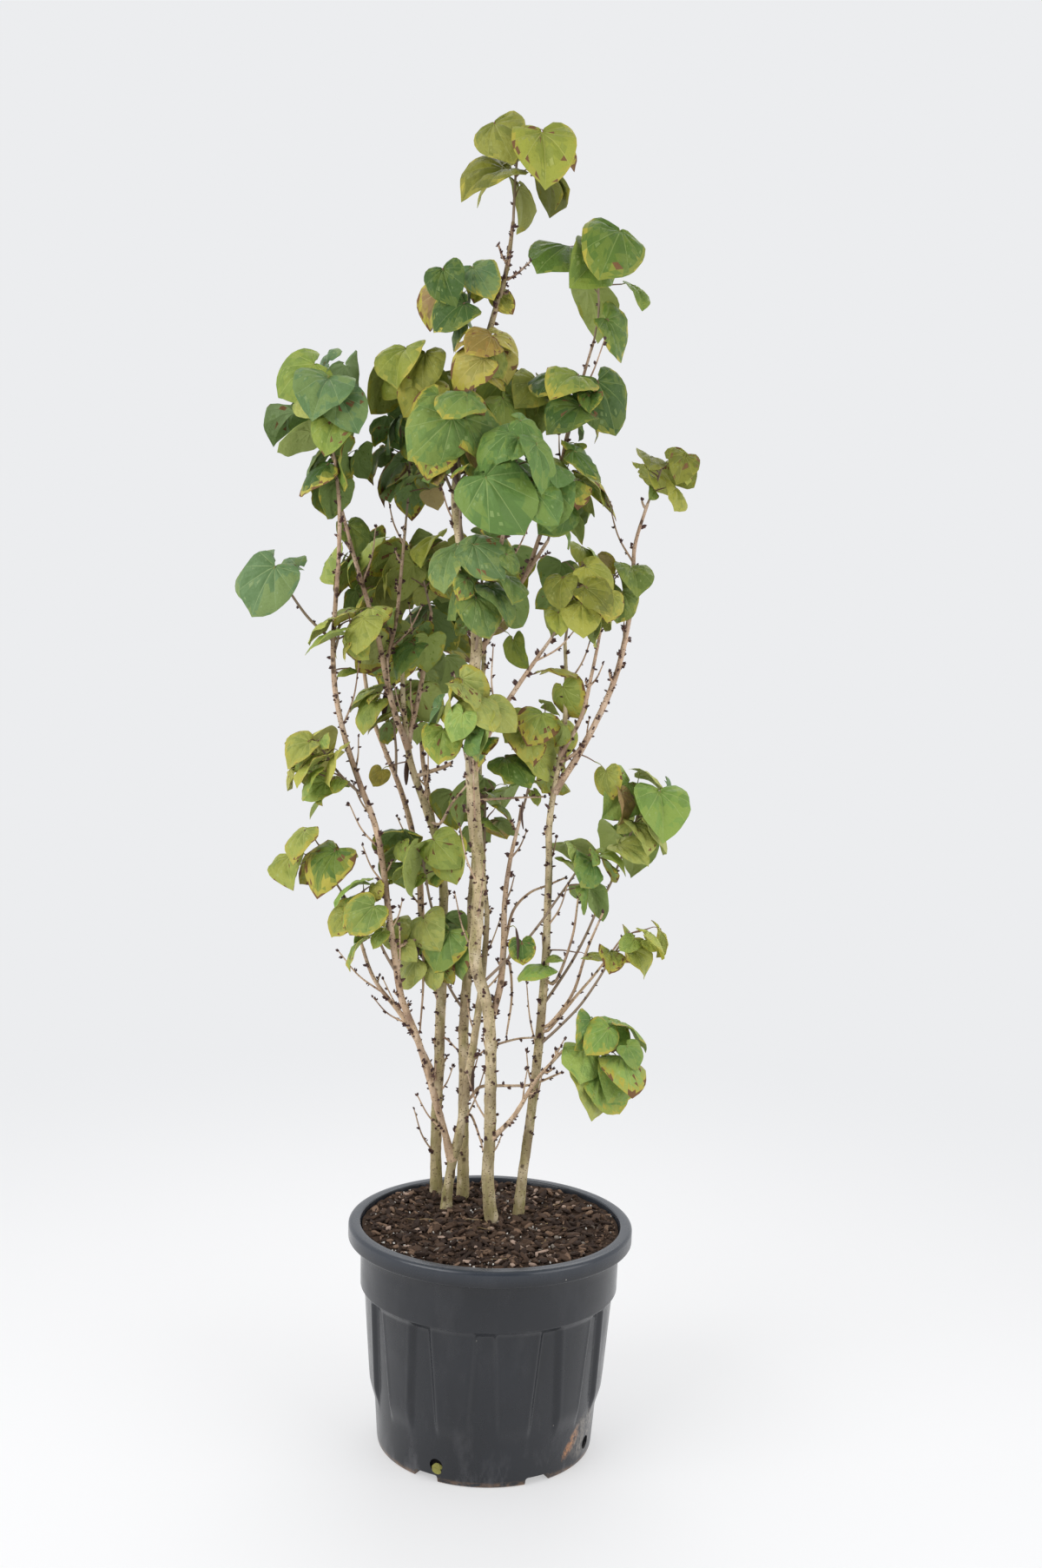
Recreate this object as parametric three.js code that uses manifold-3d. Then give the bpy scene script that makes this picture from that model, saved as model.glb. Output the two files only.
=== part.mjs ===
// A redbud grown as a shrub with five stems, in a filled nursery pot.
// Millimetres, +Z up, the front faces -Y, and the origin is the middle of the pot's flat underside.
// Stems and boughs are single tapering limbs. Every mass of foliage is one stem with its side
// twigs, leaves and pods, grown by a seeded rule inside a space of its own.
import * as THREE from "three";
import { mergeVertices } from "three/addons/utils/BufferGeometryUtils.js";
import Module from "manifold-3d";

const wasm = await Module();
wasm.setup();

// ---------------------------------------------------------------- driving dimensions
const CLEARANCE = 0.3; // gap between pieces that meet
const SIMPLE = 0.15; // detail of a joined mass that is left out

const POT_HEIGHT = 335;
const POT_BASE_RADIUS = 161;
const POT_FLARE = 0.078; // growth of the recessed wall's radius for each millimetre of height
const POT_WALL = 3.5;
const POT_FLOOR = 6;
const POT_SIDES = 48;
const FOOT_BEVEL = [4, 5]; // width and height
const COLLAR_RADIUS = 192;
const COLLAR_BOTTOM = 240;
const COLLAR_CHAMFER = 11;
const COLLAR_LEAN = 1; // how far the collar leans out
const RIM_RADIUS = 212;
const RIM_INNER_RADIUS = 194;
const RIM_DEPTH = 25; // from the crest down to the lip's lower edge
const RIM_BEVEL = 8;
const RIM_INNER_BEVEL = [2, 5]; // width and height
const PANEL_COUNT = 12;
const PANEL_RISE = 6; // how far a panel stands out under the collar
const PANEL_FADE = [62, 100]; // heights between which a panel grows out of the wall
const PANEL_HALF_ANGLE = [3, 8]; // degrees, at the foot and under the collar
const PANEL_EDGE_ANGLE = 7; // degrees over which the panel's side rises
const NOTCH_COUNT = 6;
const NOTCH_WIDTH = 40;
const NOTCH_HEIGHT = 11;
const NOTCH_DEPTH = [18, 42]; // how far the cut runs in from the foot's edge, and out past it
const DRAIN_COUNT = 4;
const DRAIN_RADIUS = 10;
const DRAIN_SIDES = 8;
const DRAIN_DEPTH = 40; // length of the cut, half of it inside the wall's face
const DRAIN_HEIGHT = 26;
const DRAIN_FIRST_ANGLE = -113.5; // degrees from +X, seen from above

const SOIL_TOP = 318;
const SOIL_SIDES = 36;
const SOIL_GAP = 0.8; // between the soil and the pot's wall

const LIMB_STEP = 68; // length of one straight stretch of a limb
const LIMB_KINK = 2.2; // how far each joint of a limb strays
const LIMB_TAPER = 1.5; // over the last stretch: 1 tapers evenly, more keeps it thick for longer
const STEM_SIDES = 6;
const BOUGH_SIDES = 5;
const FLARE_RISE = 0.18; // growth of a stem's radius at the soil
const FLARE_HEIGHT = 20;
const FLARE_STEPS = [0, 9, 26]; // heights of the extra rings in the root flare

const TWIG_STEP = 45;
const TWIG_KINK = 2;
const TWIG_SIDES = 3;
const TWIG_RADIUS = [2.4, 1.6];
const TIP_SHARE = 0.85; // a mass's stem is this much of the limb's tip that it carries on from
const TWIG_SIDE_RADII = [0.7, 0.2]; // of a side twig, from its root to its end inside the blade
const TWIG_ROOTS = [0.15, 0.4, 0.6, 0.85]; // where along a stretch of wood a side twig may root
const POD_LENGTH = [48, 64];
const POD_REACH = 26; // longest stalk of a pod
const ATTEMPTS = 220; // placings tried for a leaf or a pod before it is skipped
const BLADE_CLEARANCE = 2; // between a blade and anything that it isn't fused to
const BLADE_REACH = 0.62; // of its length, from the blade's centre to its farthest corner
const SPACE_DEPTH = 0.85; // blades' centres fill this share of a mass's space
const SPACE_LIMIT = 1.8; // square of the share of its space that a mass's blades may reach
const STEM_END = 0.35; // how far up its space a mass's stem ends
const STEM_LEAD = 12; // straight start of a stem that carries a limb's tip on
const STEM_BEND = [0.5, 0.38]; // the stem's middle bend: share of the way across, and of the rise
const LEAF_SPREAD = { facing: 2.4, tilt: 1, roll: 2 }; // how far leaves turn, in radians
const POD_SPREAD = { facing: 2.4, tilt: 0.2, roll: 0.5 };
const PLANT_AXIS = [-30, 60]; // the leaves face away from this upright line

// Half of a blade's edge, along its middle line and across it, with its middle, camber, drooping tip
// and thickness, all for a length of 1. A leaf is heart-shaped and a pod is long and flat.
const LEAF = { half: [[1, 0], [0.34, 0.5], [-0.13, 0.3], [0, 0]], middle: 0.36, camber: 0.07, droop: 0.12, thickness: 0.022 };
const POD = { half: [[1, 0], [0.72, 0.1], [0.16, 0.085], [0, 0]], middle: 0.45, camber: 0, droop: 0, thickness: 0.055 };
const EDGE_DROP = 0.02; // of the length, by which the rest of the edge lies behind the base
const CENTRE = 0.4; // of the length, from the base to the centre that a blade is placed by
const JOINT_DEPTH = 0.65; // how far towards the blade's middle its stalk is sunk
const STALK_SIDE = 0.35; // most that a stalk leans towards the blade's tip or its face

// ---------------------------------------------------------------- limbs
// name, what it grows on, the height where it leaves it, the points it bends through, and its radii
// at equal distances from its foot to its tip.
// A stem grows on the soil, and its first point is its foot.
const LIMBS = [
  ["stem_front_left", "soil", 0, [[-71, 65, 318], [-65, 70, 405], [-50, 71, 455], [-36, 76, 557],
    [-26, 87, 690], [-20, 99, 755], [-30, 108, 845]], [7.4, 3.2]],
  ["stem_left", "soil", 0, [[-88, 130, 318], [-90, 129, 450], [-91, 127, 600], [-88, 124, 760],
    [-93, 121, 850], [-118, 117, 935], [-150, 113, 1005], [-160, 108, 1100], [-162, 103, 1150]], [8.9, 7.4, 3.2]],
  ["stem_back", "soil", 0, [[-46, 117, 318], [-48, 120, 455], [-54, 130, 650], [-48, 146, 730],
    [-42, 166, 850], [-42, 182, 980], [-44, 196, 1100], [-40, 203, 1200]], [8.8, 3.2]],
  ["stem_centre", "soil", 0, [[3, 16, 318], [-7, 12, 395], [-7, 9, 460], [-6, 6, 540], [-9, 4, 640],
    [-36, 2, 705], [-32, 0, 785], [-36, 0, 890], [-47, 0, 1000], [-52, 0, 1115], [-47, 1, 1215],
    [-70, 3, 1298], [-82, 5, 1370], [-83, 8, 1470], [-66, 10, 1560], [-43, 12, 1640],
    [-18, 15, 1720], [-13, 18, 1800]], [9.2, 8.4, 9.8, 8.2, 5.2, 2.6]],
  ["stem_right", "soil", 0, [[41, 44, 318], [50, 44, 415], [62, 44, 560], [69, 43, 670], [74, 42, 795],
    [67, 41, 905], [77, 40, 1000], [87, 45, 1050], [88, 60, 1125], [84, 80, 1200]], [7.6, 2.6]],
  ["bough_left_outer", "stem_front_left", 400, [[-92, 62, 500], [-116, 57, 580], [-150, 49, 665],
    [-168, 40, 775], [-187, 31, 910], [-227, 19, 1017], [-255, 11, 1105], [-256, 3, 1210],
    [-247, -5, 1350], [-258, -12, 1450]], [5.5, 2.6]],
  ["bough_left_mid", "stem_left", 640, [[-115, 138, 695], [-127, 150, 750], [-131, 160, 824],
    [-147, 170, 925], [-177, 178, 985], [-203, 185, 1053], [-228, 190, 1115], [-238, 192, 1210]], [5.5, 2.4]],
  ["bough_left_low", "stem_left", 505, [[-115, 112, 555], [-142, 100, 614], [-190, 92, 668],
    [-208, 88, 725], [-238, 84, 800]], [4, 2]],
  ["bough_crown_left", "stem_left", 1030, [[-176, 88, 1092], [-183, 66, 1140], [-206, 44, 1245],
    [-240, 30, 1330], [-250, 22, 1380]], [4.8, 2.4]],
  ["bough_crown_mid", "bough_crown_left", 1150, [[-174, 76, 1205], [-166, 86, 1290],
    [-162, 92, 1370]], [3.2, 2]],
  ["bough_crown_low", "stem_left", 1040, [[-140, 124, 1090], [-129, 130, 1175],
    [-122, 134, 1240]], [4.2, 2.4]],
  ["bough_crown_front", "stem_centre", 1215, [[-28, -28, 1268], [-20, -62, 1320],
    [-8, -82, 1365]], [4.8, 2.4]],
  ["bough_crown_right", "stem_centre", 1170, [[-16, 12, 1225], [18, 8, 1290],
    [52, 0, 1345]], [5, 2.4]],
  ["bough_right_lean", "stem_centre", 1000, [[-8, -18, 1100], [38, -32, 1170],
    [62, -40, 1205]], [4.5, 2.2]],
  ["bough_centre_right", "stem_centre", 625, [[10, 14, 700], [2, 26, 770], [10, 42, 862],
    [24, 54, 930]], [5.3, 2.4]],
  ["bough_top_right", "stem_right", 975, [[112, 34, 1036], [141, 30, 1100], [164, 27, 1157],
    [179, 23, 1254], [178, 19, 1340], [196, 15, 1405]], [5, 2.2]],
  ["bough_right_shoot", "stem_right", 1030, [[112, 26, 1095], [124, 14, 1150],
    [134, 6, 1220]], [3.4, 2]],
  ["bough_low_right", "stem_centre", 450, [[30, -8, 490], [66, -18, 560], [98, -25, 600]], [4, 2.2]],
  ["bough_back_left", "stem_left", 890, [[-126, 160, 975], [-140, 205, 1070], [-140, 230, 1150]], [4.2, 2.2]],
  ["bough_right_top", "bough_crown_right", 1300, [[54, 22, 1390], [74, 30, 1490],
    [98, 36, 1590], [110, 38, 1640]], [3.2, 1.9]],
];

// ---------------------------------------------------------------- foliage
// Leaf colours, and the mixes of them that a mass draws from.
const TINTS = {
  deep: 0x3f6b3a, blue: 0x4a7b5c, mid: 0x5b8741, bright: 0x6f9f45,
  olive: 0x7d8a45, lime: 0x9aa84f, gold: 0xb79a4a,
};

// name, limb, height where it leaves it (0 is the limb's tip), middle of its space, reach of the
// space, leaves, shortest and longest leaf, pods, tint, seed.
const MASSES = [
  ["top", "stem_centre", 0, [-9, 20, 1881], [88, 70, 84], 7, [66, 88], 0, "olive", 113],
  ["upper_left", "stem_centre", 1590, [-92, 5, 1686], [55, 52, 62], 6, [54, 70], 0, "deep", 117],
  ["golden", "stem_centre", 1500, [-50, -25, 1600], [52, 50, 50], 8, [44, 64], 1, "gold", 114],
  ["right_top", "bough_right_top", 0, [118, 40, 1726], [90, 70, 105], 5, [72, 98], 0, "mid", 126],
  ["right_top_low", "bough_right_top", 1480, [92, 20, 1545], [72, 65, 70], 5, [66, 92], 0, "deep", 115],
  ["left_top", "bough_left_outer", 0, [-281, -20, 1527], [74, 70, 76], 9, [62, 92], 0, "bright", 129],
  ["crown_top_left", "stem_centre", 1400, [-150, 30, 1562], [62, 62, 58], 9, [62, 86], 0, "olive", 17],
  ["crown_top_right", "stem_centre", 1420, [-2, 55, 1552], [56, 62, 64], 9, [62, 86], 0, "lime", 18],
  ["crown_left", "bough_crown_left", 0, [-259, 15, 1428], [62, 66, 62], 10, [62, 88], 0, "deep", 19],
  ["crown_mid", "bough_crown_mid", 0, [-160, 95, 1462], [66, 72, 90], 11, [54, 84], 0, "blue", 20],
  ["crown_centre", "stem_centre", 1330, [-82, -52, 1480], [58, 62, 76], 11, [60, 92], 1, "mid", 21],
  ["crown_front", "bough_crown_front", 0, [4, -95, 1428], [68, 66, 84], 9, [62, 104], 0, "bright", 111],
  ["crown_right", "bough_crown_right", 0, [72, -5, 1408], [66, 64, 78], 8, [58, 88], 0, "mid", 23],
  ["crown_low", "bough_crown_low", 0, [-146, 132, 1306], [66, 70, 72], 9, [58, 82], 0, "olive", 24],
  ["crown_low_right", "stem_centre", 1170, [-38, -55, 1290], [64, 60, 72], 9, [60, 88], 0, "blue", 25],
  ["crown_back", "stem_left", 0, [-184, 98, 1196], [74, 60, 58], 7, [52, 78], 0, "bright", 26],
  ["back_mid", "stem_back", 0, [-48, 212, 1290], [92, 82, 95], 10, [58, 86], 0, "mid", 27],
  ["back_left", "bough_back_left", 0, [-138, 245, 1200], [86, 72, 84], 8, [56, 84], 0, "deep", 28],
  ["left_back", "bough_left_mid", 0, [-228, 190, 1310], [70, 72, 80], 8, [56, 82], 0, "mid", 29],
  ["left_low", "bough_left_outer", 1170, [-248, 0, 1205], [78, 62, 50], 8, [44, 66], 0, "lime", 120],
  ["far_left", "bough_left_outer", 1190, [-348, -10, 1280], [56, 56, 54], 3, [66, 94], 0, "deep", 127],
  ["band_left", "bough_left_outer", 960, [-276, 12, 1012], [54, 62, 78], 8, [46, 72], 0, "lime", 32],
  ["band_left_mid", "bough_left_mid", 980, [-176, 140, 1090], [66, 62, 58], 7, [46, 70], 1, "mid", 33],
  ["band_centre", "stem_centre", 990, [-61, -58, 1090], [62, 58, 80], 9, [50, 78], 0, "bright", 34],
  ["band_right", "bough_centre_right", 0, [48, 62, 1040], [62, 66, 100], 11, [46, 72], 1, "mid", 35],
  ["right_front", "bough_right_lean", 0, [97, -52, 1262], [56, 58, 66], 8, [46, 70], 0, "olive", 123],
  ["right_upper", "bough_right_shoot", 0, [148, 2, 1276], [54, 58, 54], 6, [44, 66], 0, "olive", 117],
  ["right_back", "stem_right", 0, [98, 112, 1286], [66, 66, 76], 8, [50, 76], 0, "mid", 38],
  ["top_right", "bough_top_right", 0, [215, 12, 1445], [56, 52, 42], 6, [42, 64], 0, "olive", 122],
  ["mid_back", "stem_front_left", 0, [-30, 124, 948], [64, 66, 72], 7, [48, 72], 0, "deep", 40],
  ["left_mid", "stem_left", 740, [-125, 58, 868], [84, 60, 50], 8, [54, 76], 0, "mid", 41],
  ["left_mid_low", "bough_left_outer", 690, [-207, 30, 790], [48, 52, 80], 6, [42, 66], 0, "lime", 42],
  ["left_outer", "bough_left_low", 0, [-278, 76, 862], [62, 58, 56], 5, [48, 84], 0, "mid", 127],
  ["mid_low", "stem_back", 620, [-113, 76, 735], [72, 58, 66], 8, [50, 76], 1, "bright", 122],
  ["right_mid", "stem_right", 650, [210, 72, 935], [74, 66, 78], 10, [52, 92], 0, "bright", 124],
  ["right_mid_low", "stem_centre", 690, [126, 40, 858], [54, 56, 74], 6, [48, 72], 1, "bright", 46],
  ["right_pair", "stem_right", 590, [190, -24, 765], [64, 52, 44], 5, [44, 66], 0, "lime", 116],
  ["low_right", "bough_low_right", 0, [152, -30, 592], [72, 62, 76], 8, [52, 82], 0, "bright", 120],
];

// ---------------------------------------------------------------- small tools
const vector = (point) => new THREE.Vector3(...point);

function seeded(seed) {
  let state = seed >>> 0;
  return () => {
    state = (state + 0x6d2b79f5) >>> 0;
    let mixed = Math.imul(state ^ (state >>> 15), state | 1);
    mixed ^= mixed + Math.imul(mixed ^ (mixed >>> 7), mixed | 61);
    return ((mixed ^ (mixed >>> 14)) >>> 0) / 4294967296;
  };
}

// A closed mesh turned into a solid that can be joined and cut.
function toSolid(geometry) {
  geometry.deleteAttribute("normal");
  geometry.deleteAttribute("uv");
  const merged = mergeVertices(geometry, 1e-4);
  return new wasm.Manifold(new wasm.Mesh({
    numProp: 3,
    vertProperties: Float32Array.from(merged.attributes.position.array),
    triVerts: Uint32Array.from(merged.index.array),
  }));
}

// The largest closed body of a solid, with what it encloses filled.
function wholeBody(solid) {
  const bodies = solid.decompose();
  return bodies.reduce((largest, body) => (body.volume() > largest.volume() ? body : largest));
}

function toGeometry(solid) {
  const mesh = solid.getMesh();
  const geometry = new THREE.BufferGeometry();
  geometry.setAttribute("position", new THREE.BufferAttribute(mesh.vertProperties, 3));
  geometry.setIndex(new THREE.BufferAttribute(mesh.triVerts, 1));
  geometry.computeVertexNormals();
  return geometry;
}

// ---------------------------------------------------------------- paths
// Two rounds of corner cutting make a bent line smooth, and its ends stay.
function smoothed(points) {
  let line = points;
  for (let round = 0; round < 2; round += 1) {
    const cut = [line[0]];
    for (let i = 0; i + 1 < line.length; i += 1) {
      cut.push(line[i].clone().lerp(line[i + 1], 0.25), line[i].clone().lerp(line[i + 1], 0.75));
    }
    cut.push(line[line.length - 1]);
    line = cut;
  }
  return line;
}

// Points at equal distances along a line, about one step apart.
function walked(line, step) {
  const reached = [0];
  for (let i = 1; i < line.length; i += 1) reached.push(reached[i - 1] + line[i].distanceTo(line[i - 1]));
  const total = reached[reached.length - 1];
  const count = Math.max(2, Math.round(total / step));
  const result = [];
  let i = 1;
  for (let k = 0; k <= count; k += 1) {
    const target = (total * k) / count;
    while (i < line.length - 1 && reached[i] < target) i += 1;
    const along = (target - reached[i - 1]) / (reached[i] - reached[i - 1]);
    result.push(line[i - 1].clone().lerp(line[i], Math.min(1, along)));
  }
  return result;
}

// A smooth line through bends, whose inner points stray a little to each side.
function grownPath(points, step, kink, draw) {
  const path = walked(smoothed(points), step);
  for (let i = 1; i + 1 < path.length; i += 1) {
    path[i].x += (draw() - 0.5) * 2 * kink;
    path[i].y += (draw() - 0.5) * 2 * kink;
  }
  return path;
}

// The point at a given height on a rising path.
function pointAtHeight(path, height) {
  for (let i = 1; i < path.length; i += 1) {
    if (path[i].z >= height) {
      return path[i - 1].clone().lerp(path[i], (height - path[i - 1].z) / (path[i].z - path[i - 1].z));
    }
  }
  return path[path.length - 1].clone();
}

// A tapered bar bent along a path: one ring of corners for each point of the path.
function barGeometry(path, radii, sides) {
  const rings = path.length - 1;
  const geometry = new THREE.CylinderGeometry(1, 1, 1, sides, rings);
  const frames = [];
  let side = new THREE.Vector3(1, 0, 0);
  for (let i = 0; i < path.length; i += 1) {
    const ahead = path[Math.min(i + 1, rings)].clone().sub(path[Math.max(i - 1, 0)]).normalize();
    if (i === 0 && Math.abs(ahead.x) > 0.9) side.set(0, 1, 0);
    side = side.clone().addScaledVector(ahead, -side.dot(ahead)).normalize();
    frames.push([side, ahead.clone().cross(side).negate()]);
  }
  const corners = geometry.attributes.position;
  for (let i = 0; i < corners.count; i += 1) {
    const k = Math.round((corners.getY(i) + 0.5) * rings);
    const corner = path[k].clone()
      .addScaledVector(frames[k][0], corners.getX(i) * radii[k])
      .addScaledVector(frames[k][1], corners.getZ(i) * radii[k]);
    corners.setXYZ(i, corner.x, corner.y, corner.z);
  }
  return geometry;
}

// ---------------------------------------------------------------- pot and soil
function wallRadius(height) {
  return POT_BASE_RADIUS + POT_FLARE * height;
}

// How far the wall stands out at an angle and a height: twelve panels that narrow and fade downwards.
function panelRise(angle, height) {
  const [fadeLow, fadeHigh] = PANEL_FADE;
  const growth = THREE.MathUtils.smoothstep(height, fadeLow, fadeHigh);
  const pitch = 360 / PANEL_COUNT;
  const off = Math.abs(THREE.MathUtils.euclideanModulo(THREE.MathUtils.radToDeg(angle), pitch) - pitch / 2);
  const half = THREE.MathUtils.mapLinear(height, 0, COLLAR_BOTTOM, ...PANEL_HALF_ANGLE);
  return PANEL_RISE * growth * (1 - THREE.MathUtils.smoothstep(off, half, half + PANEL_EDGE_ANGLE));
}

function potSolid() {
  const lip = POT_HEIGHT - RIM_DEPTH;
  const shoulder = COLLAR_BOTTOM - COLLAR_CHAMFER;
  const outside = [
    [0, 0], [POT_BASE_RADIUS - FOOT_BEVEL[0], 0], [POT_BASE_RADIUS, FOOT_BEVEL[1]],
    [wallRadius(PANEL_FADE[0]), PANEL_FADE[0]], [wallRadius(PANEL_FADE[1]), PANEL_FADE[1]],
    [wallRadius(shoulder), shoulder], [COLLAR_RADIUS, COLLAR_BOTTOM], [COLLAR_RADIUS + COLLAR_LEAN, lip],
    [RIM_RADIUS, lip], [RIM_RADIUS - 1, POT_HEIGHT - RIM_BEVEL], [RIM_RADIUS - RIM_BEVEL, POT_HEIGHT],
    [RIM_INNER_RADIUS + RIM_INNER_BEVEL[0], POT_HEIGHT], [RIM_INNER_RADIUS, POT_HEIGHT - RIM_INNER_BEVEL[1]],
  ];
  const inside = [
    [COLLAR_RADIUS - POT_WALL, lip], [COLLAR_RADIUS - POT_WALL, COLLAR_BOTTOM + 4],
    [wallRadius(shoulder) - POT_WALL, shoulder], [wallRadius(DRAIN_HEIGHT) - POT_WALL, POT_FLOOR + NOTCH_HEIGHT],
    [0, POT_FLOOR + NOTCH_HEIGHT],
  ];
  const profile = [...outside, ...inside].map(([radius, height]) => new THREE.Vector2(radius, height));
  const pot = new THREE.LatheGeometry(profile, POT_SIDES);
  pot.rotateX(Math.PI / 2);
  const corners = pot.attributes.position;
  for (let i = 0; i < corners.count; i += 1) {
    const [x, y, z] = [corners.getX(i), corners.getY(i), corners.getZ(i)];
    const radius = Math.hypot(x, y);
    const onWall = Math.abs(radius - wallRadius(z)) < 0.01 && z <= shoulder;
    const scale = onWall ? 1 + panelRise(Math.atan2(y, x), z) / radius : 1;
    corners.setXYZ(i, x * scale, y * scale, z);
  }
  let solid = toSolid(pot);
  for (let k = 0; k < NOTCH_COUNT; k += 1) {
    const [inwards, outwards] = NOTCH_DEPTH;
    const notch = new THREE.BoxGeometry(inwards + outwards, NOTCH_WIDTH, 2 * NOTCH_HEIGHT);
    notch.translate(POT_BASE_RADIUS + (outwards - inwards) / 2, 0, 0);
    notch.rotateZ(((k + 0.5) * 2 * Math.PI) / NOTCH_COUNT - Math.PI / 2);
    solid = solid.subtract(toSolid(notch));
  }
  for (let k = 0; k < DRAIN_COUNT; k += 1) {
    const drain = new THREE.CylinderGeometry(DRAIN_RADIUS, DRAIN_RADIUS, DRAIN_DEPTH, DRAIN_SIDES);
    drain.rotateZ(Math.PI / 2);
    drain.translate(wallRadius(DRAIN_HEIGHT), 0, DRAIN_HEIGHT);
    drain.rotateZ(THREE.MathUtils.degToRad(DRAIN_FIRST_ANGLE + (360 * k) / DRAIN_COUNT));
    solid = solid.subtract(toSolid(drain));
  }
  return solid;
}

function soilSolid() {
  const floor = POT_FLOOR + NOTCH_HEIGHT + CLEARANCE;
  const shoulder = COLLAR_BOTTOM - COLLAR_CHAMFER;
  const gap = POT_WALL + SOIL_GAP;
  const profile = [
    [0, floor], [wallRadius(DRAIN_HEIGHT) - gap, floor], [wallRadius(shoulder) - gap, shoulder],
    [COLLAR_RADIUS - gap, COLLAR_BOTTOM + 5], [COLLAR_RADIUS - gap, SOIL_TOP], [0, SOIL_TOP],
  ].map(([radius, height]) => new THREE.Vector2(radius, height));
  const soil = new THREE.LatheGeometry(profile, SOIL_SIDES);
  soil.rotateX(Math.PI / 2);
  return toSolid(soil);
}

// ---------------------------------------------------------------- limbs
function limbRadii(path, radii, onSoil) {
  const last = path.length - 1;
  const final = radii.length - 2;
  return path.map((point, i) => {
    const reached = (i / last) * (radii.length - 1);
    const k = Math.min(Math.floor(reached), final);
    const along = (reached - k) ** (k === final ? LIMB_TAPER : 1);
    const taper = radii[k] + (radii[k + 1] - radii[k]) * along;
    const flare = onSoil ? FLARE_RISE * Math.exp((path[0].z - point.z) / FLARE_HEIGHT) : 0;
    return taper * (1 + flare);
  });
}

function growLimbs() {
  const limbs = new Map();
  LIMBS.forEach(([name, parent, height, bends, radii], index) => {
    const onSoil = parent === "soil";
    const points = bends.map(vector);
    if (onSoil) points[0].z = SOIL_TOP + CLEARANCE;
    else points.unshift(pointAtHeight(limbs.get(parent).path, height));
    const path = grownPath(points, LIMB_STEP, LIMB_KINK, seeded(1000 + index));
    limbs.set(name, { name, parent, onSoil, path, radii: limbRadii(path, radii, onSoil) });
  });
  return limbs;
}

// The rings of a stem's root flare are added between its foot and its first bend. A limb that cuts
// its neighbours clear is larger by `extra` all round and at its tip.
function ringsOf(limb, extra) {
  let { path, radii } = limb;
  const last = path.length - 1;
  const ahead = path[last].clone().sub(path[last - 1]).normalize();
  path = [...path.slice(0, last), path[last].clone().addScaledVector(ahead, extra)];
  if (limb.onSoil) {
    const foot = path[0];
    const rise = path[1].clone().sub(foot);
    const rings = FLARE_STEPS.map((height) => foot.clone().addScaledVector(rise, height / rise.z));
    const grown = FLARE_STEPS.map((height) => radii[1] + (radii[0] - radii[1]) * Math.exp(-height / FLARE_HEIGHT));
    path = [...rings, ...path.slice(1)];
    radii = [...grown, ...radii.slice(1)];
  }
  return [path, radii.map((radius) => radius + extra)];
}

// A stem's lowest ring lies level, so that its foot is cut flat at the soil.
function limbSolid(limb, extra = 0) {
  const [path, radii] = ringsOf(limb, extra);
  const bar = barGeometry(path, radii, limb.onSoil ? STEM_SIDES : BOUGH_SIDES);
  if (limb.onSoil) {
    const corners = bar.attributes.position;
    for (let i = 0; i < corners.count; i += 1) {
      if (corners.getZ(i) < path[0].z + FLARE_STEPS[1] / 2) corners.setZ(i, path[0].z);
    }
  }
  return toSolid(bar);
}

// ---------------------------------------------------------------- clearances
const dot = (a, b, c, d) => (b.x - a.x) * (d.x - c.x) + (b.y - a.y) * (d.y - c.y) + (b.z - a.z) * (d.z - c.z);
const share = (value) => Math.min(1, Math.max(0, value));

// Shortest distance between two straight stretches a-b and c-d.
function stretchDistance(a, b, c, d) {
  const aa = dot(a, b, a, b);
  const cc = dot(c, d, c, d);
  const ac = dot(a, b, c, d);
  const am = dot(a, b, c, a);
  const cm = dot(c, d, c, a);
  const scale = aa * cc - ac * ac;
  let s = scale > 1e-9 ? share((ac * cm - cc * am) / scale) : 0;
  const t = share((ac * s + cm) / cc);
  s = share((ac * t - am) / aa);
  return Math.hypot(
    a.x + (b.x - a.x) * s - c.x - (d.x - c.x) * t,
    a.y + (b.y - a.y) * s - c.y - (d.y - c.y) * t,
    a.z + (b.z - a.z) * s - c.z - (d.z - c.z) * t,
  );
}

// Does the stretch a-b pass through the triangle p-q-r?
function pierces(a, b, p, q, r) {
  const volume = (i, j, k, l) => {
    const [ux, uy, uz] = [j.x - i.x, j.y - i.y, j.z - i.z];
    const [vx, vy, vz] = [k.x - i.x, k.y - i.y, k.z - i.z];
    const [wx, wy, wz] = [l.x - i.x, l.y - i.y, l.z - i.z];
    return ux * (vy * wz - vz * wy) + uy * (vz * wx - vx * wz) + uz * (vx * wy - vy * wx);
  };
  if (volume(a, p, q, r) * volume(b, p, q, r) > 0) return false;
  const turns = [volume(a, b, p, q), volume(a, b, q, r), volume(a, b, r, p)];
  return turns.every((turn) => turn > 0) || turns.every((turn) => turn < 0);
}

// ---------------------------------------------------------------- growth of a mass
function insideSpace(mass, point) {
  return point.clone().sub(mass.middle).divide(mass.reach).lengthSq() < SPACE_LIMIT;
}

// A leaf's blade: the corners of its edge, the next corner after each, its middle, and the point
// in its thickness where the stalk ends.
function bladeOf({ kind, base, along, across, normal, length }) {
  const place = (u, v, w) => base.clone()
    .addScaledVector(along, u * length).addScaledVector(across, v * length).addScaledVector(normal, w * length);
  const mirrored = kind.half.slice(1, -1).reverse().map(([u, v]) => [u, -v]);
  const edge = [...kind.half, ...mirrored].map(([u, v]) => place(u, v, u === 1 ? -kind.droop : -EDGE_DROP));
  const middle = place(kind.middle, 0, kind.camber);
  const joint = edge[2].clone().add(edge[3]).multiplyScalar(0.5).lerp(middle, JOINT_DEPTH);
  return { edge, next: [...edge.slice(1), edge[0]], middle, joint };
}

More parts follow.
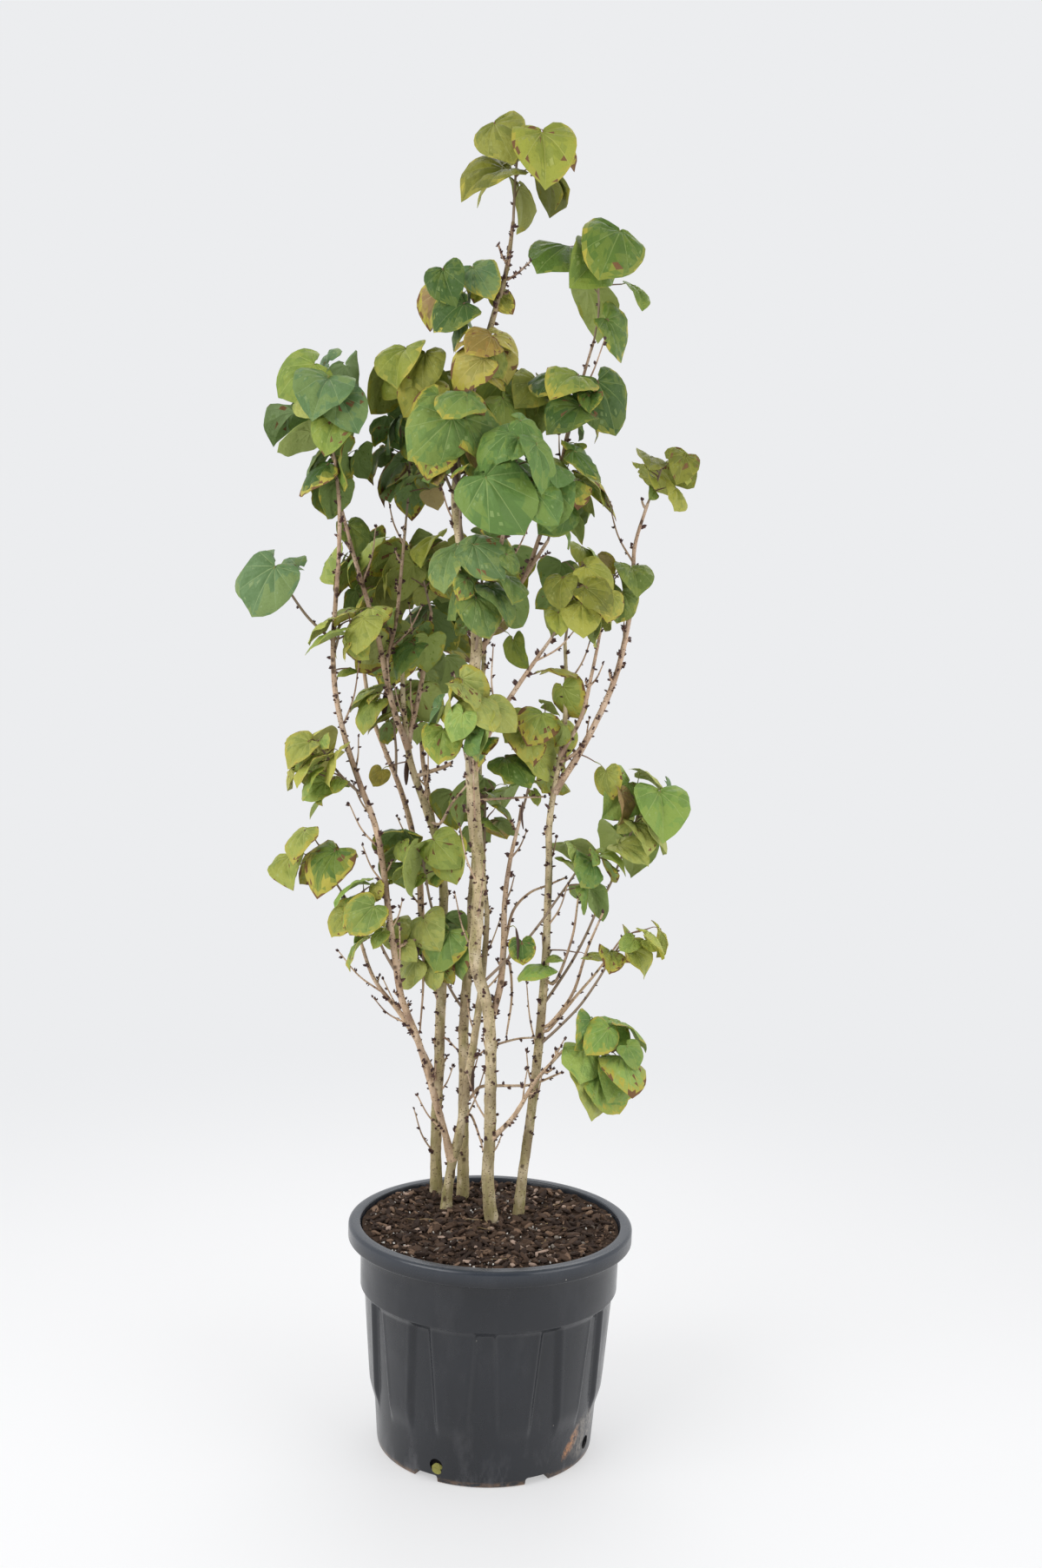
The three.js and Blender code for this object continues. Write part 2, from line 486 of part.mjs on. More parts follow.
// A leaf hangs with its face turned away from the plant's axis; a pod hangs straighter.
function placeBlade(mass, kind, index, attempt) {
  const draw = seeded(mass.seed * 10007 + index * 101 + attempt);
  const level = 1 - 2 * draw();
  const turn = 2 * Math.PI * draw();
  const ring = Math.sqrt(1 - level * level);
  const depth = SPACE_DEPTH * Math.sqrt(draw());
  const centre = new THREE.Vector3(Math.cos(turn) * ring, Math.sin(turn) * ring, level)
    .multiplyScalar(depth).multiply(mass.reach).add(mass.middle);
  const [shortest, longest] = kind === POD ? POD_LENGTH : mass.sizes;
  const length = shortest + (longest - shortest) * draw();
  const spread = kind === POD ? POD_SPREAD : LEAF_SPREAD;
  const facing = Math.atan2(centre.y - PLANT_AXIS[1], centre.x - PLANT_AXIS[0]) + (draw() - 0.5) * spread.facing;
  const tilt = spread.tilt * draw();
  const normal = new THREE.Vector3(
    Math.cos(facing) * Math.cos(tilt), Math.sin(facing) * Math.cos(tilt), Math.sin(tilt));
  const along = new THREE.Vector3(0, 0, -1).addScaledVector(normal, normal.z).normalize()
    .applyAxisAngle(normal, (draw() - 0.5) * spread.roll);
  const across = normal.clone().cross(along);
  const base = centre.clone().addScaledVector(along, -CENTRE * length);
  const blade = { kind, base, along, across, normal, length, centre };
  return { ...blade, ...bladeOf(blade) };
}

// Where a side twig roots: the nearest of a few places on the mass's stem, where a place above the
// new joint counts as farther away.
function rootOf(mass, target) {
  const { path } = mass.twigs[0];
  const places = path.slice(1).flatMap((to, i) => TWIG_ROOTS.map((root) => path[i].clone().lerp(to, root)));
  const cost = (place) => place.distanceTo(target) + Math.max(0, place.z - target.z);
  return places.reduce((best, place) => (cost(place) < cost(best) ? place : best));
}

// Does the stretch come within `keep` of the blade, or pass through it?
function meetsBlade({ edge, next, middle }, from, to, keep) {
  return edge.some((corner, i) => stretchDistance(from, to, corner, next[i]) < keep
    || stretchDistance(from, to, corner, middle) < keep || pierces(from, to, corner, next[i], middle));
}

function bladesMeet(one, two, keep) {
  return one.edge.some((corner, i) => meetsBlade(two, corner, one.next[i], keep)
    || meetsBlade(two, corner, one.middle, keep))
    || two.edge.some((corner, i) => one.edge.some((other, k) => (
      pierces(corner, two.next[i], other, one.next[k], one.middle)
      || pierces(corner, two.middle, other, one.next[k], one.middle))));
}

// A blade stays inside its mass's space, its stalk comes from behind or from the base's side, and both
// stay clear of what has grown before.
function bladeFits(mass, blade, grown) {
  const { edge, middle, joint, centre, length, from } = blade;
  if (!edge.every((corner) => insideSpace(mass, corner))) return false;
  const stalk = from.clone().sub(joint);
  if (blade.kind === POD && stalk.length() > POD_REACH) return false;
  stalk.normalize();
  if (stalk.dot(blade.along) > STALK_SIDE || stalk.dot(blade.normal) > STALK_SIDE) return false;
  const clearOfBlades = grown.blades.every((other) => {
    const reach = BLADE_REACH * (length + other.length);
    const stalkFar = stretchDistance(from, joint, other.centre, other.joint) > other.length;
    return (other.centre.distanceTo(centre) > reach || !bladesMeet(blade, other, BLADE_CLEARANCE))
      && (stalkFar || !meetsBlade(other, from, joint, BLADE_CLEARANCE));
  });
  return clearOfBlades && grown.bars.every((bar) => {
    if (stretchDistance(bar.from, bar.to, centre, from) > length + bar.radius) return true;
    const keep = bar.radius + BLADE_CLEARANCE;
    return (bar.owner === mass.name || stretchDistance(bar.from, bar.to, from, joint) > keep)
      && stretchDistance(bar.from, bar.to, joint, middle) > keep
      && !meetsBlade(blade, bar.from, bar.to, keep);
  });
}

// The mass's own stem leaves its limb and rises through the middle of the space.
function growStem(row, limbs) {
  const [name, limbName, height, middle, reach, count, sizes, pods, tint, seed] = row;
  const limb = limbs.get(limbName);
  const mass = {
    name, limb, onTip: height === 0, middle: vector(middle), reach: vector(reach),
    count, sizes, pods, tint, seed, blades: [],
  };
  const start = mass.onTip ? limb.path[limb.path.length - 1].clone() : pointAtHeight(limb.path, height);
  const end = mass.middle.clone().setZ(mass.middle.z + STEM_END * mass.reach.z);
  const last = limb.path.length - 1;
  const ahead = limb.path[last].clone().sub(limb.path[last - 1]).normalize();
  const points = [start];
  if (mass.onTip) points.push(start.clone().addScaledVector(ahead, STEM_LEAD));
  const [across, up] = STEM_BEND;
  points.push(start.clone().lerp(end, across).setZ(start.z + (end.z - start.z) * up));
  points.push(end);
  const path = grownPath(points, TWIG_STEP, TWIG_KINK, seeded(2000 + seed));
  const thick = mass.onTip ? TIP_SHARE * limb.radii[last] : TWIG_RADIUS[0];
  const thin = TWIG_RADIUS[1];
  mass.twigs = [{ path, radii: path.map((_, i) => thick + ((thin - thick) * i) / (path.length - 1)) }];
  return mass;
}

function barsOf(owner, path, radii) {
  return path.slice(1).map((to, i) => ({ owner, from: path[i], to, radius: Math.max(radii[i], radii[i + 1]) }));
}

function growBlade(mass, kind, index, grown) {
  for (let attempt = 0; attempt < ATTEMPTS; attempt += 1) {
    const blade = placeBlade(mass, kind, index, attempt);
    blade.from = rootOf(mass, blade.joint);
    if (bladeFits(mass, blade, grown)) {
      const path = [blade.from, blade.joint];
      mass.blades.push(blade);
      mass.twigs.push({ path, radii: TWIG_SIDE_RADII });
      grown.blades.push(blade);
      grown.bars.push(...barsOf(mass.name, path, TWIG_SIDE_RADII));
      return;
    }
  }
}

function growFoliage(mass, grown) {
  for (let index = 0; index < mass.pods + mass.count; index += 1) {
    growBlade(mass, index < mass.pods ? POD : LEAF, index, grown);
  }
}

// ---------------------------------------------------------------- solids of a mass
// A blade is two shallow fans over one edge.
function bladeSolid({ kind, edge, middle, normal, length }) {
  const blade = new THREE.SphereGeometry(1, edge.length, 2);
  const corners = blade.attributes.position;
  const half = (kind.thickness * length) / 2;
  for (let i = 0; i < corners.count; i += 1) {
    const level = corners.getY(i);
    let corner = middle.clone().addScaledVector(normal, level * half);
    if (Math.abs(level) < 0.5) {
      const turn = Math.atan2(corners.getZ(i), -corners.getX(i)) / (2 * Math.PI);
      corner = edge[(Math.round(turn * edge.length) + edge.length) % edge.length];
    }
    corners.setXYZ(i, corner.x, corner.y, corner.z);
  }
  return toSolid(blade);
}

function massSolid(mass) {
  const twigs = mass.twigs.map(({ path, radii }) => toSolid(barGeometry(path, radii, TWIG_SIDES)));
  const solid = [...twigs, ...mass.blades.map(bladeSolid)].reduce((whole, piece) => whole.add(piece));
  return wholeBody(solid.subtract(limbSolid(mass.limb, CLEARANCE)).simplify(SIMPLE));
}

// ---------------------------------------------------------------- assembly
const group = new THREE.Group();

function addMesh(name, solid, color, roughness) {
  const material = new THREE.MeshStandardMaterial({ color, roughness, metalness: 0 });
  const mesh = new THREE.Mesh(toGeometry(solid), material);
  mesh.name = name;
  group.add(mesh);
}

const limbs = growLimbs();
const masses = MASSES.map((row) => growStem(row, limbs));
const bars = [...limbs.values(), ...masses.map((mass) => ({ name: mass.name, ...mass.twigs[0] }))]
  .flatMap(({ name, path, radii }) => barsOf(name, path, radii));

const grown = { bars, blades: [] };

addMesh("pot", potSolid(), 0x33363b, 0.45);
addMesh("soil", soilSolid(), 0x3a2b20, 0.95);
for (const limb of limbs.values()) {
  let solid = limbSolid(limb);
  if (!limb.onSoil) solid = wholeBody(solid.subtract(limbSolid(limbs.get(limb.parent), CLEARANCE)));
  addMesh(limb.name, solid, 0xa39a80, 0.85);
}
for (const mass of masses) {
  growFoliage(mass, grown);
  addMesh(`leaves_${mass.name}`, massSolid(mass), TINTS[mass.tint], 0.6);
}

export default group;
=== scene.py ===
"""The look of the potted redbud shrub: bark, twigs, buds, leaves, pods, soil and pot.

The wood and the leaves grow by the seeded rule of the CAD solids, and go on from there to finer twigs,
stalks and veins. Lengths are in millimetres until a mesh is made of them. Materials measure in metres.
"""
import math
from types import SimpleNamespace

import bpy
import numpy as np
from mathutils import Matrix, Vector, noise

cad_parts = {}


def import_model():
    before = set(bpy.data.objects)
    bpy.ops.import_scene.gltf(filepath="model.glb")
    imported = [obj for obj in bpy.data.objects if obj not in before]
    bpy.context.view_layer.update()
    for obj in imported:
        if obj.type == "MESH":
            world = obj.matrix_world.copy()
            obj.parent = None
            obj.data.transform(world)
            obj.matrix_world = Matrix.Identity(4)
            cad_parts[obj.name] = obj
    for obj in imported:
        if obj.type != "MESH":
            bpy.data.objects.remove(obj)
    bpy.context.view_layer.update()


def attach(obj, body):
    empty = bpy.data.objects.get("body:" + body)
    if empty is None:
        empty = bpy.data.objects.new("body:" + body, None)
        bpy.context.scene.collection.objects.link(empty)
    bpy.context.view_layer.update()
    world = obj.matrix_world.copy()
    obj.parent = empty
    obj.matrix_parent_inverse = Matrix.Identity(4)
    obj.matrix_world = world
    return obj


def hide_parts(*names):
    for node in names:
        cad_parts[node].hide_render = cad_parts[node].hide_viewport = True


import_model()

# ---------------------------------------------------------------- sizes that the CAD solids share
MM = 0.001
CLEARANCE = 0.3
POT_HEIGHT = 335
POT_BASE_RADIUS = 161
POT_FLARE = 0.078
POT_WALL = 3.5
COLLAR_RADIUS = 192
COLLAR_BOTTOM = 240
COLLAR_CHAMFER = 11
RIM_RADIUS = 212
RIM_INNER_RADIUS = 194
RIM_DEPTH = 25
PANEL_COUNT = 12
PANEL_RISE = 6
PANEL_FADE = (62, 100)
PANEL_HALF_ANGLE = (3, 8)
NOTCH_COUNT = 6
NOTCH_WIDTH = 40
NOTCH_HEIGHT = 11
DRAIN_COUNT = 4
DRAIN_RADIUS = 10
DRAIN_HEIGHT = 26
DRAIN_FIRST_ANGLE = -113.5
SOIL_TOP = 318

LIMB_STEP = 68
LIMB_KINK = 2.2
LIMB_TAPER = 1.5
FLARE_RISE = 0.18
FLARE_HEIGHT = 20
TWIG_STEP = 45
TWIG_KINK = 2
TWIG_RADIUS = (2.4, 1.6)
TIP_SHARE = 0.85
TWIG_SIDE_RADII = (0.7, 0.2)
TWIG_ROOTS = (0.15, 0.4, 0.6, 0.85)
POD_LENGTH = (48, 64)
POD_REACH = 26
ATTEMPTS = 220
BLADE_CLEARANCE = 2
BLADE_REACH = 0.62
SPACE_DEPTH = 0.85
SPACE_LIMIT = 1.8
STEM_END = 0.35
STEM_LEAD = 12
STEM_BEND = (0.5, 0.38)
PLANT_AXIS = (-30, 60)
EDGE_DROP = 0.02
CENTRE = 0.4
JOINT_DEPTH = 0.65
STALK_SIDE = 0.35

# Half of a blade's edge, its middle, camber and droop, and how far blades of the kind turn.
LEAF = SimpleNamespace(half=[(1, 0), (0.34, 0.5), (-0.13, 0.3), (0, 0)], middle=0.36, camber=0.07,
                       droop=0.12, facing=2.4, tilt=1, roll=2)
POD = SimpleNamespace(half=[(1, 0), (0.72, 0.1), (0.16, 0.085), (0, 0)], middle=0.45, camber=0,
                      droop=0, facing=2.4, tilt=0.2, roll=0.5)

# name, what it grows on, the height where it leaves it, the points it bends through, radii.
LIMBS = [
    ["stem_front_left", "soil", 0, [[-71, 65, 318], [-65, 70, 405], [-50, 71, 455], [-36, 76, 557],
    [-26, 87, 690], [-20, 99, 755], [-30, 108, 845]], [7.4, 3.2]],
    ["stem_left", "soil", 0, [[-88, 130, 318], [-90, 129, 450], [-91, 127, 600], [-88, 124, 760],
    [-93, 121, 850], [-118, 117, 935], [-150, 113, 1005], [-160, 108, 1100],
    [-162, 103, 1150]], [8.9, 7.4, 3.2]],
    ["stem_back", "soil", 0, [[-46, 117, 318], [-48, 120, 455], [-54, 130, 650], [-48, 146, 730],
    [-42, 166, 850], [-42, 182, 980], [-44, 196, 1100], [-40, 203, 1200]], [8.8, 3.2]],
    ["stem_centre", "soil", 0, [[3, 16, 318], [-7, 12, 395], [-7, 9, 460], [-6, 6, 540], [-9, 4, 640],
    [-36, 2, 705], [-32, 0, 785], [-36, 0, 890], [-47, 0, 1000], [-52, 0, 1115], [-47, 1, 1215],
    [-70, 3, 1298], [-82, 5, 1370], [-83, 8, 1470], [-66, 10, 1560], [-43, 12, 1640],
    [-18, 15, 1720], [-13, 18, 1800]], [9.2, 8.4, 9.8, 8.2, 5.2, 2.6]],
    ["stem_right", "soil", 0, [[41, 44, 318], [50, 44, 415], [62, 44, 560], [69, 43, 670], [74, 42, 795],
    [67, 41, 905], [77, 40, 1000], [87, 45, 1050], [88, 60, 1125], [84, 80, 1200]], [7.6, 2.6]],
    ["bough_left_outer", "stem_front_left", 400, [[-92, 62, 500], [-116, 57, 580], [-150, 49, 665],
    [-168, 40, 775], [-187, 31, 910], [-227, 19, 1017], [-255, 11, 1105], [-256, 3, 1210],
    [-247, -5, 1350], [-258, -12, 1450]], [5.5, 2.6]],
    ["bough_left_mid", "stem_left", 640, [[-115, 138, 695], [-127, 150, 750], [-131, 160, 824],
    [-147, 170, 925], [-177, 178, 985], [-203, 185, 1053], [-228, 190, 1115],
    [-238, 192, 1210]], [5.5, 2.4]],
    ["bough_left_low", "stem_left", 505, [[-115, 112, 555], [-142, 100, 614], [-190, 92, 668],
    [-208, 88, 725], [-238, 84, 800]], [4, 2]],
    ["bough_crown_left", "stem_left", 1030, [[-176, 88, 1092], [-183, 66, 1140], [-206, 44, 1245],
    [-240, 30, 1330], [-250, 22, 1380]], [4.8, 2.4]],
    ["bough_crown_mid", "bough_crown_left", 1150, [[-174, 76, 1205], [-166, 86, 1290],
    [-162, 92, 1370]], [3.2, 2]],
    ["bough_crown_low", "stem_left", 1040, [[-140, 124, 1090], [-129, 130, 1175],
    [-122, 134, 1240]], [4.2, 2.4]],
    ["bough_crown_front", "stem_centre", 1215, [[-28, -28, 1268], [-20, -62, 1320],
    [-8, -82, 1365]], [4.8, 2.4]],
    ["bough_crown_right", "stem_centre", 1170, [[-16, 12, 1225], [18, 8, 1290],
    [52, 0, 1345]], [5, 2.4]],
    ["bough_right_lean", "stem_centre", 1000, [[-8, -18, 1100], [38, -32, 1170],
    [62, -40, 1205]], [4.5, 2.2]],
    ["bough_centre_right", "stem_centre", 625, [[10, 14, 700], [2, 26, 770], [10, 42, 862],
    [24, 54, 930]], [5.3, 2.4]],
    ["bough_top_right", "stem_right", 975, [[112, 34, 1036], [141, 30, 1100], [164, 27, 1157],
    [179, 23, 1254], [178, 19, 1340], [196, 15, 1405]], [5, 2.2]],
    ["bough_right_shoot", "stem_right", 1030, [[112, 26, 1095], [124, 14, 1150],
    [134, 6, 1220]], [3.4, 2]],
    ["bough_low_right", "stem_centre", 450, [[30, -8, 490], [66, -18, 560], [98, -25, 600]], [4, 2.2]],
    ["bough_back_left", "stem_left", 890,
     [[-126, 160, 975], [-140, 205, 1070], [-140, 230, 1150]], [4.2, 2.2]],
    ["bough_right_top", "bough_crown_right", 1300, [[54, 22, 1390], [74, 30, 1490],
    [98, 36, 1590], [110, 38, 1640]], [3.2, 1.9]],
]

# name, limb, height where it leaves it (0 is the limb's tip), middle of its space, reach of the
# space, leaves, shortest and longest leaf, pods, tint, seed.
MASSES = [
    ["top", "stem_centre", 0, [-9, 20, 1881], [88, 70, 84], 7, [66, 88], 0, "olive", 113],
    ["upper_left", "stem_centre", 1590, [-92, 5, 1686], [55, 52, 62], 6, [54, 70], 0, "deep", 117],
    ["golden", "stem_centre", 1500, [-50, -25, 1600], [52, 50, 50], 8, [44, 64], 1, "gold", 114],
    ["right_top", "bough_right_top", 0, [118, 40, 1726], [90, 70, 105], 5, [72, 98], 0, "mid", 126],
    ["right_top_low", "bough_right_top", 1480, [92, 20, 1545], [72, 65, 70], 5, [66, 92], 0, "deep", 115],
    ["left_top", "bough_left_outer", 0, [-281, -20, 1527], [74, 70, 76], 9, [62, 92], 0, "bright", 129],
    ["crown_top_left", "stem_centre", 1400, [-150, 30, 1562], [62, 62, 58], 9, [62, 86], 0, "olive", 17],
    ["crown_top_right", "stem_centre", 1420, [-2, 55, 1552], [56, 62, 64], 9, [62, 86], 0, "lime", 18],
    ["crown_left", "bough_crown_left", 0, [-259, 15, 1428], [62, 66, 62], 10, [62, 88], 0, "deep", 19],
    ["crown_mid", "bough_crown_mid", 0, [-160, 95, 1462], [66, 72, 90], 11, [54, 84], 0, "blue", 20],
    ["crown_centre", "stem_centre", 1330, [-82, -52, 1480], [58, 62, 76], 11, [60, 92], 1, "mid", 21],
    ["crown_front", "bough_crown_front", 0, [4, -95, 1428], [68, 66, 84], 9, [62, 104], 0, "bright", 111],
    ["crown_right", "bough_crown_right", 0, [72, -5, 1408], [66, 64, 78], 8, [58, 88], 0, "mid", 23],
    ["crown_low", "bough_crown_low", 0, [-146, 132, 1306], [66, 70, 72], 9, [58, 82], 0, "olive", 24],
    ["crown_low_right", "stem_centre", 1170, [-38, -55, 1290], [64, 60, 72], 9, [60, 88], 0, "blue", 25],
    ["crown_back", "stem_left", 0, [-184, 98, 1196], [74, 60, 58], 7, [52, 78], 0, "bright", 26],
    ["back_mid", "stem_back", 0, [-48, 212, 1290], [92, 82, 95], 10, [58, 86], 0, "mid", 27],
    ["back_left", "bough_back_left", 0, [-138, 245, 1200], [86, 72, 84], 8, [56, 84], 0, "deep", 28],
    ["left_back", "bough_left_mid", 0, [-228, 190, 1310], [70, 72, 80], 8, [56, 82], 0, "mid", 29],
    ["left_low", "bough_left_outer", 1170, [-248, 0, 1205], [78, 62, 50], 8, [44, 66], 0, "lime", 120],
    ["far_left", "bough_left_outer", 1190, [-348, -10, 1280], [56, 56, 54], 3, [66, 94], 0, "deep", 127],
    ["band_left", "bough_left_outer", 960, [-276, 12, 1012], [54, 62, 78], 8, [46, 72], 0, "lime", 32],
    ["band_left_mid", "bough_left_mid", 980, [-176, 140, 1090], [66, 62, 58], 7, [46, 70], 1, "mid", 33],
    ["band_centre", "stem_centre", 990, [-61, -58, 1090], [62, 58, 80], 9, [50, 78], 0, "bright", 34],
    ["band_right", "bough_centre_right", 0, [48, 62, 1040], [62, 66, 100], 11, [46, 72], 1, "mid", 35],
    ["right_front", "bough_right_lean", 0, [97, -52, 1262], [56, 58, 66], 8, [46, 70], 0, "olive", 123],
    ["right_upper", "bough_right_shoot", 0, [148, 2, 1276], [54, 58, 54], 6, [44, 66], 0, "olive", 117],
    ["right_back", "stem_right", 0, [98, 112, 1286], [66, 66, 76], 8, [50, 76], 0, "mid", 38],
    ["top_right", "bough_top_right", 0, [215, 12, 1445], [56, 52, 42], 6, [42, 64], 0, "olive", 122],
    ["mid_back", "stem_front_left", 0, [-30, 124, 948], [64, 66, 72], 7, [48, 72], 0, "deep", 40],
    ["left_mid", "stem_left", 740, [-125, 58, 868], [84, 60, 50], 8, [54, 76], 0, "mid", 41],
    ["left_mid_low", "bough_left_outer", 690, [-207, 30, 790], [48, 52, 80], 6, [42, 66], 0, "lime", 42],
    ["left_outer", "bough_left_low", 0, [-278, 76, 862], [62, 58, 56], 5, [48, 84], 0, "mid", 127],
    ["mid_low", "stem_back", 620, [-113, 76, 735], [72, 58, 66], 8, [50, 76], 1, "bright", 122],
    ["right_mid", "stem_right", 650, [210, 72, 935], [74, 66, 78], 10, [52, 92], 0, "bright", 124],
    ["right_mid_low", "stem_centre", 690, [126, 40, 858], [54, 56, 74], 6, [48, 72], 1, "bright", 46],
    ["right_pair", "stem_right", 590, [190, -24, 765], [64, 52, 44], 5, [44, 66], 0, "lime", 116],
    ["low_right", "bough_low_right", 0, [152, -30, 592], [72, 62, 76], 8, [52, 82], 0, "bright", 120],
]

# Each pass of growth draws from seeds of its own.
SEEDS = {"limb": 1000, "stem": 2000, "bark": 5000, "stubs": 5500, "bare": 6000, "leaves": 7000,
         "twigs": 8000, "chips": 77, "straws": 91, "scrap": 5}
SEED_STEPS = (10007, 101)  # from one mass's seed to the next, and from blade to blade

# ---------------------------------------------------------------- growth, as in the CAD solids
WORD = 0xFFFFFFFF
TURN = 2 * math.pi


def seeded(seed):
    """Even draws between 0 and 1, always the same ones for a seed."""
    state = seed & WORD

    def draw():
        nonlocal state
        state = (state + 0x6D2B79F5) & WORD
        mixed = ((state ^ (state >> 15)) * (state | 1)) & WORD
        mixed ^= (mixed + ((mixed ^ (mixed >> 7)) * (mixed | 61))) & WORD
        return ((mixed ^ (mixed >> 14)) & WORD) / (WORD + 1)
    return draw


UP = np.array([0, 0, 1.0])


def unit(v):
    return v / np.linalg.norm(v)


def lerp(a, b, share):
    return a + (b - a) * share


def smoothed(points):
    """A line with its corners cut twice."""
    line = [np.array(point, float) for point in points]
    for _ in range(2):
        cut = [line[0]]
        for a, b in zip(line, line[1:]):
            cut += [lerp(a, b, 0.25), lerp(a, b, 0.75)]
        line = cut + [line[-1]]
    return line


def walked(line, step):
    """Points about one step apart along a line."""
    reached = [0.0]
    for a, b in zip(line, line[1:]):
        reached.append(reached[-1] + float(np.linalg.norm(b - a)))
    count = max(2, math.floor(reached[-1] / step + 0.5))
    result, i = [], 1
    for k in range(count + 1):
        target = reached[-1] * k / count
        while i < len(line) - 1 and reached[i] < target:
            i += 1
        along = (target - reached[i - 1]) / (reached[i] - reached[i - 1])
        result.append(lerp(line[i - 1], line[i], min(1, along)))
    return result


def grown_path(points, step, kink, draw):
    """A path through the points, with joints that stray."""
    path = walked(smoothed(points), step)
    for point in path[1:-1]:
        for axis in (0, 1):
            point[axis] += (draw() - 0.5) * 2 * kink
    return path


def point_at_height(path, height):
    """Where a limb first reaches a height."""
    for a, b in zip(path, path[1:]):
        if b[2] >= height:
            return lerp(a, b, (height - a[2]) / (b[2] - a[2]))
    return path[-1].copy()


def limb_radii(path, steps, on_soil):
    """The radii at a path's points, from those at equal distances along it."""
    radii, final = [], len(steps) - 2
    for i, point in enumerate(path):
        reached = i / (len(path) - 1) * (len(steps) - 1)
        k = min(int(reached), final)
        taper = lerp(steps[k], steps[k + 1], (reached - k) ** (LIMB_TAPER if k == final else 1))
        flare = FLARE_RISE * math.exp((path[0][2] - point[2]) / FLARE_HEIGHT) if on_soil else 0
        radii.append(taper * (1 + flare))
    return radii


def grow_limbs():
    limbs = {}
    for index, (name, parent, height, bends, radii) in enumerate(LIMBS):
        on_soil = parent == "soil"
        points = [list(bend) for bend in bends]
        if on_soil:
            points[0][2] = SOIL_TOP + CLEARANCE
        else:
            points.insert(0, point_at_height(limbs[parent].path, height))
        path = grown_path(points, LIMB_STEP, LIMB_KINK, seeded(SEEDS["limb"] + index))
        limbs[name] = SimpleNamespace(name=name, on_soil=on_soil, path=path,
                                      radii=limb_radii(path, radii, on_soil))
    return limbs


def grow_stem(row):
    """A mass of foliage as far as its stem."""
    name, limb_name, height, middle, reach, count, sizes, pods, tint, seed = row
    limb = limbs[limb_name]
    middle, reach = np.array(middle, float), np.array(reach, float)
    on_tip = height == 0
    start = limb.path[-1].copy() if on_tip else point_at_height(limb.path, height)
    end = middle + STEM_END * reach[2] * UP
    points = [start]
    if on_tip:
        points.append(start + STEM_LEAD * unit(limb.path[-1] - limb.path[-2]))
    bend = lerp(start, end, STEM_BEND[0])
    bend[2] = start[2] + (end[2] - start[2]) * STEM_BEND[1]
    path = grown_path(points + [bend, end], TWIG_STEP, TWIG_KINK, seeded(SEEDS["stem"] + seed))
    thick = TIP_SHARE * limb.radii[-1] if on_tip else TWIG_RADIUS[0]
    radii = [lerp(thick, TWIG_RADIUS[1], i / (len(path) - 1)) for i in range(len(path))]
    return SimpleNamespace(name=name, middle=middle, reach=reach, count=count, sizes=sizes, pods=pods,
                           tint=tint, seed=seed, path=path, radii=radii, blades=[])


def make_blade(kind, base, length, along, normal, **more):
    """A leaf or a pod, with its coarse outline and the joint where its stalk comes in."""
    across = np.cross(normal, along)

    def place(u, v, w):
        return base + (along * u + across * v + normal * w) * length
    half = kind.half + [(u, -v) for u, v in kind.half[-2:0:-1]]
    edge = np.array([place(u, v, -kind.droop if u == 1 else -EDGE_DROP) for u, v in half])
    middle = place(kind.middle, 0, kind.camber)
    return SimpleNamespace(kind=kind, base=base, length=length, along=along, across=across, normal=normal,
                           edge=edge, after=np.roll(edge, -1, axis=0), middle=middle,
                           joint=lerp((edge[2] + edge[3]) * 0.5, middle, JOINT_DEPTH), **more)


def turned(v, axis, angle):
    cosine = math.cos(angle)
    return v * cosine + np.cross(axis, v) * math.sin(angle) + axis * (axis @ v) * (1 - cosine)


def place_blade(mass, kind, sizes, index, attempt):
    draw = seeded(mass.seed * SEED_STEPS[0] + index * SEED_STEPS[1] + attempt)
    level = 1 - 2 * draw()
    turn = TURN * draw()
    ring = math.sqrt(1 - level * level)
    depth = SPACE_DEPTH * math.sqrt(draw())
    around = np.array([math.cos(turn) * ring, math.sin(turn) * ring, level])
    centre = around * depth * mass.reach + mass.middle
    length = lerp(*sizes, draw())
    facing = math.atan2(centre[1] - PLANT_AXIS[1], centre[0] - PLANT_AXIS[0])
    facing += (draw() - 0.5) * kind.facing
    tilt = kind.tilt * draw()
    level = math.cos(tilt)
    normal = np.array([math.cos(facing) * level, math.sin(facing) * level, math.sin(tilt)])
    along = unit(normal * normal[2] - UP)
    along = turned(along, normal, (draw() - 0.5) * kind.roll)
    return make_blade(kind, centre - along * CENTRE * length, length, along, normal, centre=centre)


def inner(a, b):
    return np.einsum("...i,...i->...", a, b)


def gap(a, b, c, d):
    """Shortest distances between straight stretches a-b and c-d."""
    ab, cd, ca = b - a, d - c, a - c
    aa, cc, ac, am, cm = inner(ab, ab), inner(cd, cd), inner(ab, cd), inner(ab, ca), inner(cd, ca)
    scale = aa * cc - ac * ac
    apart = scale > 1e-9
    s = np.where(apart, np.clip((ac * cm - cc * am) / np.where(apart, scale, 1), 0, 1), 0)
    t = np.clip((ac * s + cm) / cc, 0, 1)
    s = np.clip((ac * t - am) / aa, 0, 1)
    return np.linalg.norm(ca + ab * s[..., None] - cd * t[..., None], axis=-1)


def pierces(a, b, p, q, r):
    """Which stretches a-b pass through the triangles p-q-r?"""
    def volume(i, j, k, l):
        return inner(j - i, np.cross(k - i, l - i))
    sides = np.stack(np.broadcast_arrays(volume(a, b, p, q), volume(a, b, q, r), volume(a, b, r, p)))
    return (volume(a, p, q, r) * volume(b, p, q, r) <= 0) & ((sides > 0).all(0) | (sides < 0).all(0))


